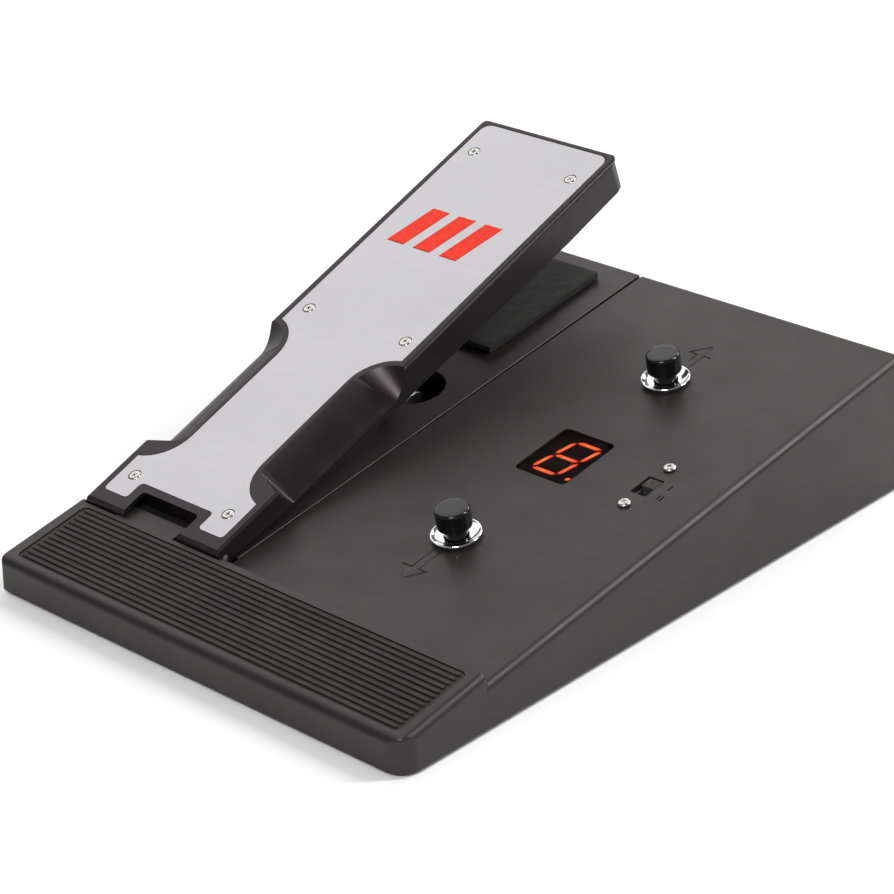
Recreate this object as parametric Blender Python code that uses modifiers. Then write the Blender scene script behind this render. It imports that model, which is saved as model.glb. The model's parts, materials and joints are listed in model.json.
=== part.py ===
"""Foot pedal unit: a wedge housing with a hinged treadle on the left and switches beside it.

Positions are given from the housing's front left bottom corner: x to the right, y to the
rear, z up.  An empty then moves everything so that the origin is under the middle of the
unit, at the height of the feet.
"""

import math

import bmesh
import bpy
from mathutils import Matrix, Vector

MM = 0.001

# Housing
HOUSING_LEFT = -2.0 * MM
HOUSING_RIGHT = 240.0 * MM
HOUSING_DEPTH = 326.2 * MM
REAR_EDGE_Y = 324.6 * MM
WALL_DRAFT = 0.026
PANEL_FRONT_Z = 11.1 * MM
PANEL_RISE = 0.1606
PANEL_SLOPE = math.atan(PANEL_RISE)
PANEL_THICKNESS = 2.8 * MM
REST_FRONT_Z = 14.95 * MM
REST_RISE = 0.1917
REST_SLOPE = math.atan(REST_RISE)
REST_REAR_Y = 49.6 * MM
STEP_FOOT_Y = 50.8 * MM
FOOT_HEIGHT = 2.0 * MM
GAP = 0.3 * MM

# Left bay, where the treadle stands
BAY_LEFT = 0.9 * MM
BAY_RIGHT_FRONT = 88.4 * MM
BAY_RIGHT_REAR = 89.6 * MM
BAY_FRONT_Y = 47.5 * MM
POCKET_FLOOR_Z = 15.5 * MM
DECK_FRONT_Y = 58.6 * MM
DECK_REAR_Y = 323.1 * MM
DECK_THICKNESS = 2.6 * MM
KNUCKLE_LEFT = 22.0 * MM
KNUCKLE_RIGHT = 58.2 * MM
KNUCKLE_REAR_Y = 57.4 * MM

# Treadle, measured from its hinge axis: s along the foot plate, h square to it
HINGE_Y = 52.8 * MM
HINGE_Z = 22.3 * MM
TREADLE_X = 44.3 * MM
TREADLE_TILT = math.radians(20.7)
TREADLE_TOP = 6.04 * MM
TREADLE_HALF = 42.5 * MM
TREADLE_TOE = 278.3 * MM
BARREL_RADIUS = 4.4 * MM
SKIN_UNDER = 2.5 * MM
WAIST_HALF = 22.5 * MM
WAIST_FRONT = 46.8 * MM
WAIST_REAR = 104.3 * MM
SHOULDER_RADIUS = 20.6 * MM
SCOOP_LEAN = math.radians(21)
RIM = 3.0 * MM
PLATE_CORNER = 2.0 * MM
NOTCH_HALF = 18.0 * MM
NOTCH_REAR = 10.6 * MM
PLATE_THICKNESS = 1.5 * MM
PIN_RADIUS = 1.5 * MM
BUSH_RADIUS = 2.6 * MM

# Rack on the treadle and pinion on the potentiometer
MODULE = 0.7 * MM
RACK_TEETH = 400
PINION_TEETH = 12
RACK_RADIUS = MODULE * RACK_TEETH / 2
PINION_RADIUS = MODULE * PINION_TEETH / 2
MESH_ANGLE = math.radians(3.53)

# Controls on the panel
CONTROL_X = 159.3 * MM
BUTTON_Y = {"front": 117.9 * MM, "rear": 255.5 * MM}
WINDOW_SIZE = (28.7 * MM, 35.6 * MM)
WINDOW_Y = 187.0 * MM
FIGURE_LEAN = math.radians(12)
FIGURE_LIFT = 0.8 * MM
SLIDE_X = 205.6 * MM
SLIDE_Y = 186.9 * MM
SLIDE_SLOT = (8.5 * MM, 13.2 * MM)
SLIDE_SCREW_PITCH = 30.4 * MM

# Connectors in the rear wall
CONNECTOR_Z = 30.0 * MM
JACK_X = {"input": 122.0 * MM, "output": 150.0 * MM}
INLET_X = 186.0 * MM
CONNECTOR_END_Y = 328.4 * MM
WALL_INSIDE_Y = 321.8 * MM

SIDEWAYS = (math.pi / 2, 0.0, math.pi / 2)
BACKWARDS = (-math.pi / 2, 0.0, 0.0)
ACROSS = (0.0, math.pi / 2, 0.0)

for leftover in list(bpy.data.objects):
    bpy.data.objects.remove(leftover)

PARTS = bpy.data.collections.new("foot_pedal")
CUTTERS = bpy.data.collections.new("cutters")
bpy.context.scene.collection.children.link(PARTS)
bpy.context.scene.collection.children.link(CUTTERS)


# ---------------------------------------------------------------- materials

def material(name, colour, roughness, metallic=0.0):
    """A Principled BSDF material."""
    surface = bpy.data.materials.new(name)
    surface.use_nodes = True
    shader = surface.node_tree.nodes["Principled BSDF"]
    shader.inputs["Base Color"].default_value = (*colour, 1.0)
    shader.inputs["Roughness"].default_value = roughness
    shader.inputs["Metallic"].default_value = metallic
    return surface


LOOKS = {
    "housing_paint": material("housing_paint", (0.035, 0.032, 0.031), 0.45),
    "black_plastic": material("black_plastic", (0.02, 0.02, 0.02), 0.4),
    "rubber": material("rubber", (0.03, 0.028, 0.028), 0.7),
    "felt": material("felt", (0.015, 0.014, 0.014), 1.0),
    "satin_plate": material("satin_plate", (0.58, 0.57, 0.58), 0.35, 0.6),
    "red_enamel": material("red_enamel", (0.75, 0.03, 0.02), 0.35),
    "steel": material("steel", (0.6, 0.6, 0.6), 0.3, 1.0),
    "chrome": material("chrome", (0.8, 0.8, 0.8), 0.08, 1.0),
    "lens": material("lens", (0.03, 0.01, 0.01), 0.05),
    "segments": material("segments", (1.0, 0.2, 0.05), 0.3),
    "board": material("board", (0.02, 0.18, 0.07), 0.5),
    "white_plastic": material("white_plastic", (0.7, 0.7, 0.68), 0.45),
}


# ---------------------------------------------------------------- helpers

def empty(name, parent, location, rotation=(0.0, 0.0, 0.0)):
    """A frame of reference that parts are parented to."""
    frame = bpy.data.objects.new(name, None)
    PARTS.objects.link(frame)
    frame.parent = parent
    frame.location = location
    frame.rotation_euler = rotation
    return frame


def place(name, mesh, parent, location=(0, 0, 0), rotation=(0, 0, 0), look=None):
    """Put a mesh in the scene as a part, or as a cutter where it has no look."""
    piece = bpy.data.objects.new(name, mesh)
    piece.parent = parent
    piece.location = location
    piece.rotation_euler = rotation
    if look is None:
        CUTTERS.objects.link(piece)
        piece.hide_render = True
        piece.display_type = "WIRE"
    else:
        PARTS.objects.link(piece)
        mesh.materials.append(LOOKS[look])
    return piece


def combine(piece, other, operation="DIFFERENCE"):
    """Cut a piece with another object, or join the other object to it."""
    boolean = piece.modifiers.new(operation.lower(), "BOOLEAN")
    boolean.operation = operation
    boolean.solver = "EXACT"
    boolean.object = other


def rounded(piece, width, segments=2):
    """Round a piece's edges."""
    bevel = piece.modifiers.new("rounding", "BEVEL")
    bevel.width = width
    bevel.segments = segments
    bevel.limit_method = "ANGLE"
    bevel.angle_limit = math.radians(40)


def smooth(mesh):
    """Shade a round piece smooth, with its sharp edges kept."""
    mesh.shade_smooth()
    mesh.set_sharp_from_angle(angle=math.radians(40))
    return mesh


def finished(builder, name):
    """Turn a bmesh into a mesh with welded corners and its faces out."""
    bmesh.ops.remove_doubles(builder, verts=builder.verts, dist=0.00001)
    bmesh.ops.recalc_face_normals(builder, faces=builder.faces)
    mesh = bpy.data.meshes.new(name)
    builder.to_mesh(mesh)
    builder.free()
    return mesh


def slab(name, loops, depth, base=0.0):
    """Flat outlines, raised from height base by depth; a loop inside another is a hole."""
    curve = bpy.data.curves.new(name, "CURVE")
    curve.dimensions = "2D"
    curve.fill_mode = "BOTH"
    curve.extrude = depth / 2
    for loop in loops:
        spline = curve.splines.new("POLY")
        spline.points.add(len(loop) - 1)
        for point, (x, y) in zip(spline.points, loop):
            point.co = (x, y, 0.0, 1.0)
        spline.use_cyclic_u = True
    drawn = bpy.data.objects.new(name, curve)
    PARTS.objects.link(drawn)
    shape = bpy.data.meshes.new_from_object(drawn.evaluated_get(bpy.context.evaluated_depsgraph_get()))
    bpy.data.objects.remove(drawn)
    builder = bmesh.new()
    builder.from_mesh(shape)
    bpy.data.meshes.remove(shape)
    bmesh.ops.translate(builder, verts=builder.verts, vec=(0, 0, base + depth / 2))
    return finished(builder, name)


def block(name, low, high):
    """A box between two corners."""
    builder = bmesh.new()
    size = Vector(high) - Vector(low)
    centre = (Vector(high) + Vector(low)) / 2
    bmesh.ops.create_cube(builder, size=1.0, matrix=Matrix.LocRotScale(centre, None, size))
    return finished(builder, name)


def rods(name, centres, radius, low, high, sides=16):
    """Upright cylinders of one size, from height low to high."""
    builder = bmesh.new()
    for x, y in centres:
        bmesh.ops.create_cone(
            builder, cap_ends=True, segments=sides, radius1=radius, radius2=radius,
            depth=high - low, matrix=Matrix.Translation((x, y, (low + high) / 2)))
    return smooth(finished(builder, name))


def turn(name, profile, parent, location, look, rotation=(0, 0, 0), steps=24, ring=False):
    """A turned piece: (radius, height) points down the outer side; a ring closes on itself."""
    mesh = bpy.data.meshes.new(name)
    edges = [(i, i + 1) for i in range(len(profile) - 1)]
    if ring:
        edges.append((len(profile) - 1, 0))
    mesh.from_pydata([(radius, 0.0, height) for radius, height in profile], edges, [])
    piece = place(name, mesh, parent, location, rotation, look)
    screw = piece.modifiers.new("turned", "SCREW")
    screw.steps = steps
    screw.render_steps = steps
    screw.use_merge_vertices = True
    screw.merge_threshold = 0.00001
    screw.use_smooth_shade = True
    return piece


def arc(centre, radius, start, end, count):
    """Points along an arc, angles in degrees, both ends included."""
    angles = [math.radians(start + (end - start) * i / (count - 1)) for i in range(count)]
    return [(centre[0] + radius * math.cos(a), centre[1] + radius * math.sin(a)) for a in angles]


def rounded_rectangle(low, high, radius, count=4):
    """A rectangle's outline with round corners."""
    inner_low = (low[0] + radius, low[1] + radius)
    inner_high = (high[0] - radius, high[1] - radius)
    return (
        arc(inner_low, radius, 180, 270, count)
        + arc((inner_high[0], inner_low[1]), radius, 270, 360, count)
        + arc(inner_high, radius, 0, 90, count)
        + arc((inner_low[0], inner_high[1]), radius, 90, 180, count))


def scaled(points):
    """Points given in millimetres, in metres."""
    return [(first * MM, second * MM) for first, second in points]


def mirrored(half):
    """Close the right half of an outline with its mirror image."""
    return half + [(-x, y) for x, y in reversed(half)]


def centred(size, centre=(0.0, 0.0)):
    """The low and high corners of a rectangle, from its size and centre."""
    low = (centre[0] - size[0] / 2, centre[1] - size[1] / 2)
    high = (centre[0] + size[0] / 2, centre[1] + size[1] / 2)
    return low, high


def panel_z(y):
    """Height of the control panel and of the deck at y."""
    return PANEL_FRONT_Z + PANEL_RISE * y


def rest_z(y):
    """Height of the heel rest at y."""
    return REST_FRONT_Z + REST_RISE * y


def along_panel(y):
    """Distance up the panel's slope for a place at y."""
    return y / math.cos(PANEL_SLOPE)


# ---------------------------------------------------------------- frames

MIDDLE_X = (HOUSING_LEFT + HOUSING_RIGHT) / 2
ORIGIN = empty("pedal_origin", None, (-MIDDLE_X, -CONNECTOR_END_Y / 2, FOOT_HEIGHT))
PANEL = empty("panel_frame", ORIGIN, (0, 0, PANEL_FRONT_Z), (PANEL_SLOPE, 0, 0))
REST = empty("heel_rest_frame", ORIGIN, (0, 0, REST_FRONT_Z), (REST_SLOPE, 0, 0))
HINGE = empty("treadle_hinge", ORIGIN, (TREADLE_X, HINGE_Y, HINGE_Z), (TREADLE_TILT, 0, 0))
MESH_DISTANCE = RACK_RADIUS + PINION_RADIUS
POT_Y = HINGE_Y + MESH_DISTANCE * math.cos(MESH_ANGLE)
POT_Z = HINGE_Z + MESH_DISTANCE * math.sin(MESH_ANGLE)
POT = empty("potentiometer_axis", ORIGIN, (TREADLE_X, POT_Y, POT_Z))


# ---------------------------------------------------------------- housing

CORNER_FRONT_RIGHT = 10.0 * MM
CORNER_FRONT_LEFT = 3.0 * MM
CORNER_REAR = 2.0 * MM
EDGE_TOP = 3.5 * MM
EDGE_LEFT = 0.8 * MM
EDGE_STEP = 1.5 * MM
CAVITY_LEFT = 3.5 * MM
CAVITY_RIGHT = 236.0 * MM
BAY_WALL_LEFT = 85.2 * MM
BAY_WALL_RIGHT = 91.5 * MM
BOSSES = [(x * MM, y * MM) for x, y in (
    (6.5, 24), (233, 24), (6.5, 318.5), (95.5, 318.5), (232.5, 318.5), (232.5, 170))]
FEET = [(x * MM, y * MM) for x, y in ((24, 22), (214, 22), (24, 302), (214, 302))]
SEAT_LOW = (0.8 * MM, 2.5 * MM)
SEAT_HIGH = (237.2 * MM, 323.0 * MM)
SEAT_CORNER = 8.0 * MM
RECESS_LOW = (4.2 * MM, 5.5 * MM)
RECESS_HIGH = (233.0 * MM, 46.2 * MM)
RECESS_DEPTH = 1.6 * MM


def side_cut(name, outline, left, right):
    """A cutter with a (y, z) outline, from x = left to x = right."""
    return place(name, slab(name, [outline], right - left), ORIGIN, (left, 0, 0), SIDEWAYS)


def edge_radius(edge, width):
    """How round an edge of the wedge is, by where it lies; local x, y, z are y, z, x."""
    first, second = (vert.co for vert in edge.verts)
    middle = (first + second) / 2
    if edge.calc_face_angle() < 0.03 or max(first.y, second.y) < 0.001:
        return 0.0
    if abs(first.z - second.z) > 0.1:
        if middle.x > REAR_EDGE_Y - MM:
            return EDGE_TOP
        return EDGE_STEP if middle.x > REST_REAR_Y - MM else EDGE_TOP
    right = middle.z > width / 2
    if min(first.y, second.y) < 0.001:
        if middle.x > HOUSING_DEPTH / 2:
            return CORNER_REAR
        return CORNER_FRONT_RIGHT if right else CORNER_FRONT_LEFT
    return EDGE_TOP if right else EDGE_LEFT


def wedge():
    """The housing's outer form: a low wedge with a raised heel rest, walls drafted inwards."""
    width = HOUSING_RIGHT - HOUSING_LEFT
    front_top_y = WALL_DRAFT * REST_FRONT_Z
    outline = [
        (0.0, 0.0), (HOUSING_DEPTH, 0.0), (REAR_EDGE_Y, panel_z(REAR_EDGE_Y)),
        (STEP_FOOT_Y, panel_z(STEP_FOOT_Y)), (REST_REAR_Y, rest_z(REST_REAR_Y)),
        (front_top_y, rest_z(front_top_y))]
    mesh = slab("housing", [outline], width)
    builder = bmesh.new()
    builder.from_mesh(mesh)
    for vert in builder.verts:
        inset = WALL_DRAFT * vert.co.y
        vert.co.z += inset if vert.co.z < width / 2 else -inset
    weight = builder.edges.layers.float.new("bevel_weight_edge")
    for edge in builder.edges:
        edge[weight] = edge_radius(edge, width) / CORNER_FRONT_RIGHT
    builder.to_mesh(mesh)
    builder.free()
    return mesh


def arrow(tip_y, tail_y, head_length, half_head, half_shaft):
    """Outline of an arrow along the slope, centred on the controls."""
    sign = 1.0 if tip_y > tail_y else -1.0
    neck = tip_y - sign * head_length
    half = [(half_shaft, tail_y), (half_shaft, neck), (half_head, neck)]
    left = [(-x, y) for x, y in reversed(half)]
    return [(CONTROL_X + x, y) for x, y in [*half, (0.0, tip_y), *left]]


def engraved_arrow(name, tip_y, tail_y):
    """A cutter that engraves an arrow's outline in the panel."""
    line = 0.6 * MM
    tip = along_panel(tip_y)
    tail = along_panel(tail_y)
    outward = math.copysign(line, tip - tail)
    outer = arrow(tip, tail, 9.0 * MM, 7.5 * MM, 2.2 * MM)
    inner = arrow(tip - 2.2 * outward, tail + outward, 6.9 * MM, 5.4 * MM, 2.2 * MM - line)
    return place(name, slab(name, [outer, inner], 1.0 * MM, -0.4 * MM), PANEL)


def housing():
    """The housing shell: open below, with a bay for the treadle and a panel for the controls."""
    piece = place("housing", wedge(), ORIGIN, (HOUSING_LEFT, 0, 0), SIDEWAYS, "housing_paint")
    bevel = piece.modifiers.new("rounding", "BEVEL")
    bevel.limit_method = "WEIGHT"
    bevel.width = CORNER_FRONT_RIGHT
    bevel.segments = 6

    below = -1.0 * MM
    above = 90.0 * MM
    past_rear = 335.0 * MM
    ledge = DECK_THICKNESS + GAP
    deck_step_y = DECK_FRONT_Y - GAP
    bay = [
        (BAY_FRONT_Y, POCKET_FLOOR_Z), (deck_step_y, POCKET_FLOOR_Z),
        (deck_step_y, panel_z(deck_step_y) - ledge), (past_rear, panel_z(past_rear) - ledge),
        (past_rear, above), (BAY_FRONT_Y, above)]
    opening = slab("bay_opening", [bay], BAY_RIGHT_REAR - BAY_LEFT)
    taper = (BAY_RIGHT_REAR - BAY_RIGHT_FRONT) / (past_rear - BAY_FRONT_Y)
    for vert in opening.vertices:
        if vert.co.z > MM:
            vert.co.z -= taper * (past_rear - vert.co.x)
    combine(piece, place("bay_opening", opening, ORIGIN, (BAY_LEFT, 0, 0), SIDEWAYS))

    knuckle = [
        (46.5 * MM, 13.0 * MM), (KNUCKLE_REAR_Y, 13.0 * MM),
        (KNUCKLE_REAR_Y, rest_z(KNUCKLE_REAR_Y) - 1.2 * MM),
        (KNUCKLE_REAR_Y - 1.2 * MM, rest_z(KNUCKLE_REAR_Y) - 0.2 * MM),
        (46.5 * MM, rest_z(46.5 * MM) - 0.05 * MM)]
    combine(piece, side_cut("hinge_knuckle", knuckle, KNUCKLE_LEFT, KNUCKLE_RIGHT), "UNION")

    wall = 3.2 * MM
    floor_under = POCKET_FLOOR_Z - 2.5 * MM
    rest_under = 3.0 * MM
    front_end = 44.0 * MM
    front = [
        (wall, below), (front_end, below), (front_end, rest_z(front_end) - rest_under),
        (wall, rest_z(wall) - rest_under)]
    combine(piece, side_cut("front_cavity", front, CAVITY_LEFT, CAVITY_RIGHT))
    left = [
        (51 * MM, below), (WALL_INSIDE_Y, below), (WALL_INSIDE_Y, panel_z(WALL_INSIDE_Y) - MM),
        (61 * MM, panel_z(61 * MM) - MM), (61 * MM, floor_under), (51 * MM, floor_under)]
    combine(piece, side_cut("left_cavity", left, CAVITY_LEFT, BAY_WALL_LEFT))
    under_panel = PANEL_THICKNESS / math.cos(PANEL_SLOPE)
    right = [
        (48 * MM, below), (WALL_INSIDE_Y, below),
        (WALL_INSIDE_Y, panel_z(WALL_INSIDE_Y) - under_panel), (48 * MM, panel_z(48 * MM) - under_panel)]
    combine(piece, side_cut("right_cavity", right, BAY_WALL_RIGHT, CAVITY_RIGHT))

    bosses = rods("screw_bosses", BOSSES, 4 * MM, 1.9 * MM, 17.4 * MM, 12)
    combine(piece, place("screw_bosses", bosses, ORIGIN), "UNION")
    seat = rounded_rectangle(SEAT_LOW, SEAT_HIGH, SEAT_CORNER)
    combine(piece, place("sheet_seat", slab("sheet_seat", [seat], 2.9 * MM, below), ORIGIN))
    pilots = rods("screw_pilots", BOSSES, 1.75 * MM, 0.5 * MM, 10 * MM, 12)
    combine(piece, place("screw_pilots", pilots, ORIGIN))

    recess = rounded_rectangle(RECESS_LOW, RECESS_HIGH, 3 * MM)
    combine(piece, place("mat_recess", slab("mat_recess", [recess], 9 * MM, -RECESS_DEPTH), REST))
    bore = rods("knuckle_bore", [(0, 0)], PIN_RADIUS + 0.15 * MM, 15 * MM, 65 * MM)
    combine(piece, place("knuckle_bore", bore, ORIGIN, (0, HINGE_Y, HINGE_Z), ACROSS))

    buttons = [(CONTROL_X, along_panel(y)) for y in BUTTON_Y.values()]
    screws = [(SLIDE_X, along_panel(SLIDE_Y) + side * SLIDE_SCREW_PITCH / 2) for side in (-1, 1)]
    through = (-6 * MM, 3 * MM)
    combine(piece, place("button_holes", rods("button_holes", buttons, 6.2 * MM, *through, 20), PANEL))
    combine(piece, place("slide_holes", rods("slide_holes", screws, 1.8 * MM, *through, 12), PANEL))
    window = rounded_rectangle(*centred(WINDOW_SIZE, (CONTROL_X, along_panel(WINDOW_Y))), 2.5 * MM)
    slot = rounded_rectangle(*centred(SLIDE_SLOT, (SLIDE_X, along_panel(SLIDE_Y))), 0.5 * MM, 2)
    openings = slab("panel_openings", [window, slot], through[1] - through[0], through[0])
    combine(piece, place("panel_openings", openings, PANEL))
    combine(piece, engraved_arrow("arrow_down", 83.8 * MM, 107.0 * MM))
    combine(piece, engraved_arrow("arrow_up", 288.5 * MM, 268.0 * MM))

    jacks = [(x, -CONNECTOR_Z) for x in JACK_X.values()]
    rear = (318 * MM, 330 * MM)
    jack_holes = rods("jack_holes", jacks, 4.8 * MM, *rear)
    combine(piece, place("jack_holes", jack_holes, ORIGIN, rotation=BACKWARDS))
    inlet = rods("inlet_hole", [(INLET_X, -CONNECTOR_Z)], 4.3 * MM, *rear)
    combine(piece, place("inlet_hole", inlet, ORIGIN, rotation=BACKWARDS))


def heel_mat():
    """Rubber mat in the heel rest, with ribs that run across."""
    low = [value + GAP for value in RECESS_LOW]
    high = [value - GAP for value in RECESS_HIGH]
    sheet = slab("heel_mat", [rounded_rectangle(low, high, 2.7 * MM)], 0.9 * MM, 0.2 * MM - RECESS_DEPTH)
    piece = place("heel_mat", sheet, REST, look="rubber")
    count = 13
    pitch = (high[1] - low[1]) / (count + 0.3)
    half_width = 0.8 * MM
    ribs = []
    for i in range(count):
        y = low[1] + pitch * (i + 0.65)
        left = (low[0] + 2.5 * MM, y)
        right = (high[0] - 2.5 * MM, y)
        ribs.append(arc(left, half_width, 90, 270, 4) + arc(right, half_width, -90, 90, 4))
    raised = slab("mat_ribs", ribs, RECESS_DEPTH - 0.4 * MM, 0.7 * MM - RECESS_DEPTH)
    combine(piece, place("mat_ribs", raised, REST), "UNION")


def deck_plate():
    """Plate under the treadle, level with the panel, with a long slot for the rack."""
    front = along_panel(DECK_FRONT_Y)
    rear = along_panel(DECK_REAR_Y)
    left = BAY_LEFT + GAP
    outline = [(left, front), (87.8 * MM, front), (87.6 * MM, rear), (left, rear)]
    piece = place("deck_plate", slab("deck_plate", [outline], DECK_THICKNESS, -DECK_THICKNESS),
                  PANEL, look="housing_paint")
    rounded(piece, 0.4 * MM, 1)
    y = along_panel(196 * MM)
    slot = arc((29.5 * MM, y), 15 * MM, 90, 270, 9) + arc((60 * MM, y), 15 * MM, -90, 90, 9)
    combine(piece, place("rack_slot", slab("rack_slot", [slot], 9 * MM, -6 * MM), PANEL))


def felt_pad():
    """Felt that the treadle's stop comes down on."""
    low = (16.5 * MM, along_panel(235 * MM), GAP)
    high = (72 * MM, along_panel(310.5 * MM), 4 * MM)
    place("felt_pad", block("felt_pad", low, high), PANEL, look="felt")


def base_sheet():
    """Steel sheet that closes the housing from below, with its screws and push-in feet."""
    low = [value + GAP for value in SEAT_LOW]
    high = [value - GAP for value in SEAT_HIGH]
    outline = rounded_rectangle(low, high, SEAT_CORNER - GAP)
    piece = place("base_sheet", slab("base_sheet", [outline], 1.6 * MM), ORIGIN, look="steel")
    depth = (-MM, 3 * MM)
    screw_holes = rods("sheet_screw_holes", BOSSES, 1.75 * MM, *depth, 12)
    combine(piece, place("sheet_screw_holes", screw_holes, ORIGIN))
    combine(piece, place("sheet_foot_holes", rods("sheet_foot_holes", FEET, 2.5 * MM, *depth, 12), ORIGIN))
    screw = [(0, 9), (1.4, 9), (1.4, -0.3), (2.9, -0.3), (2.7, -1.2), (1.6, -1.6), (0, -1.6)]
    for number, (x, y) in enumerate(BOSSES, 1):
        turn(f"base_screw_{number}", scaled(screw), ORIGIN, (x, y, 0), "steel", steps=12)
    foot = [(0, 2.6), (2.2, 2.6), (2.2, -0.3), (7.6, -0.3), (8, -0.8), (8, -1.6), (7.6, -2), (0, -2)]
    for number, (x, y) in enumerate(FEET, 1):
        turn(f"rubber_foot_{number}", scaled(foot), ORIGIN, (x, y, 0), "rubber", steps=16)


# ---------------------------------------------------------------- treadle

PLATE_SCREWS = [(side * x * MM, s * MM) for x, s in ((30, 16.8), (30.5, 135.2), (30.2, 255.5))
                for side in (-1, 1)]
EMBLEM_BARS = [x * MM for x in (-19.0, -2.5, 14.0)]


def plate_outline(grow):
    """The foot plate's outline: notched at the heel, waisted, wide at the toe."""
    shoulder = SHOULDER_RADIUS - grow
    centre_x = WAIST_HALF + SHOULDER_RADIUS
    reach = math.degrees(math.asin((centre_x - 38 * MM - grow) / shoulder))
    toe_x = 38.5 * MM + grow
    toe_y = 274.8 * MM + grow
    corner = 5 * MM
    notch_x, notch_y, heel_y, heel_x = 23 * MM, 14.6 * MM, 4.5 * MM, 38 * MM
    half = arc((notch_x - PLATE_CORNER, notch_y - PLATE_CORNER), PLATE_CORNER - grow, 90, 0, 4)
    half += arc((notch_x + PLATE_CORNER, heel_y + PLATE_CORNER), PLATE_CORNER + grow, 180, 270, 4)
    half += arc((heel_x - PLATE_CORNER, heel_y + PLATE_CORNER), PLATE_CORNER + grow, 270, 360, 4)
    half += arc((centre_x, WAIST_FRONT), shoulder, 270 - reach, 180, 10)
    half += arc((centre_x, WAIST_REAR), shoulder, 180, 90 + reach, 10)
    half += arc((toe_x - corner, toe_y - corner), corner, 0, 90, 6)
    return mirrored(half)


def scoop_ring(flank_x, front, rear):
    """One level of a scoop's outline; front and rear are the (s, radius) of its rounded ends."""
    (front_s, front_radius), (rear_s, rear_radius) = front, rear
    ring = arc((flank_x + front_radius, front_s), front_radius, 270 - math.degrees(SCOOP_LEAN), 180, 7)
    ring += arc((flank_x + rear_radius, rear_s), rear_radius, 180, 90, 11)
    outside = 60 * MM
    start_s = ring[0][1] - (outside - ring[0][0]) * math.tan(SCOOP_LEAN)
    return [(outside, start_s)] + ring + [(outside, ring[-1][1])]


def scoop_mesh(side):
    """Cutter for one flank: a flat that slopes from the waist's rim to the wall, with rounded ends."""
    rim = scoop_ring(WAIST_HALF + RIM, (45.5 * MM, 5 * MM), (WAIST_REAR, SHOULDER_RADIUS - RIM))
    foot = scoop_ring(TREADLE_HALF + 0.4 * MM, (43 * MM, 2.5 * MM), (108 * MM, 7 * MM))
    foot_height = -5 * MM
    overshoot = 1 / 6
    builder = bmesh.new()
    tops, feet = [], []
    for (rim_x, rim_s), (foot_x, foot_s) in zip(rim, foot):
        high = Vector((rim_x, rim_s, TREADLE_TOP))
        low = Vector((foot_x, foot_s, foot_height))
        high += (high - low) * overshoot
        tops.append(builder.verts.new((side * high.x, high.y, high.z)))
        feet.append(builder.verts.new((side * low.x, low.y, low.z)))
    builder.faces.new(tops)
    builder.faces.new(feet[::-1])
    for i in range(len(tops)):
        j = (i + 1) % len(tops)
        builder.faces.new((tops[j], tops[i], feet[i], feet[j]))
    return finished(builder, "flank_scoop")


def on_hinge(name, outline, left, right, look=None):
    """A piece or cutter with an (s, h) outline, square to the hinge."""
    mesh = slab(name, [outline], right - left)
    return place(name, mesh, HINGE, (left, 0, 0), SIDEWAYS, look)


def treadle():
    """The treadle: a shell with a barrel at the heel, scooped flanks and a recess for its plate."""
    front = arc((0, 0), BARREL_RADIUS, -90, -212, 6)
    outline = front + scaled([
        (-3.3, 4.2), (-1.6, 6.04), (278.3, 6.04), (277.4, -9.8), (233, -10.6),
        (117, -8.4), (46, -5.6), (6.5, -2.6), (2.95, -3.4)])
    piece = on_hinge("treadle", outline, -TREADLE_HALF, TREADLE_HALF, "black_plastic")
    bevel = piece.modifiers.new("rounding", "BEVEL")
    bevel.limit_method = "WEIGHT"
    bevel.width = 7 * MM
    bevel.segments = 3
    round_treadle_edges(piece.data)
    for side in (-1, 1):
        combine(piece, place("flank_scoop", scoop_mesh(side), HINGE))

    under = -30 * MM
    heel = block("heel_hollow", (-39.5 * MM, 13.6 * MM, under), (39.5 * MM, 28 * MM, SKIN_UNDER))
    toe = place("toe_hollow", block(
        "toe_hollow", (-39.5 * MM, 124 * MM, under), (39.5 * MM, 275 * MM, SKIN_UNDER)), HINGE)
    rib = block("stop_rib", (-22 * MM, 219 * MM, -9.2 * MM), (22 * MM, 233 * MM, 3 * MM))
    combine(toe, place("stop_rib", rib, HINGE))
    waist = [(x * MM, h * MM) for x, h in (
        (-25, 2.3), (-39.3, -6.7), (-39.3, -30), (39.3, -30), (39.3, -6.7), (25, 2.3))]
    combine(piece, place("heel_hollow", heel, HINGE))
    combine(piece, toe)
    middle = slab("waist_hollow", [waist], 97 * MM)
    combine(piece, place("waist_hollow", middle, HINGE, (0, 124.5 * MM, 0), (math.pi / 2, 0, 0)))

    outline = rounded_rectangle((-NOTCH_HALF, -9 * MM), (NOTCH_HALF, NOTCH_REAR), 2.2 * MM)
    notch = slab("heel_notch", [outline], 9 * MM - under, under)
    relief = block("knuckle_relief", (-22.8 * MM, -9 * MM, under), (-17 * MM, NOTCH_REAR, 3.9 * MM))
    combine(piece, place("heel_notch", notch, HINGE))
    combine(piece, place("knuckle_relief", relief, HINGE))
    recess_depth = PLATE_THICKNESS + GAP
    recess = slab("plate_recess", [plate_outline(GAP)], 5 * MM, TREADLE_TOP - recess_depth)
    combine(piece, place("plate_recess", recess, HINGE))
    holes = rods("plate_screw_holes", PLATE_SCREWS, 1.6 * MM, under, 9 * MM, 12)
    combine(piece, place("plate_screw_holes", holes, HINGE))
    bore = rods("barrel_bore", [(0, 0)], BUSH_RADIUS + 0.1 * MM, -50 * MM, 50 * MM)
    combine(piece, place("barrel_bore", bore, HINGE, rotation=ACROSS))


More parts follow.
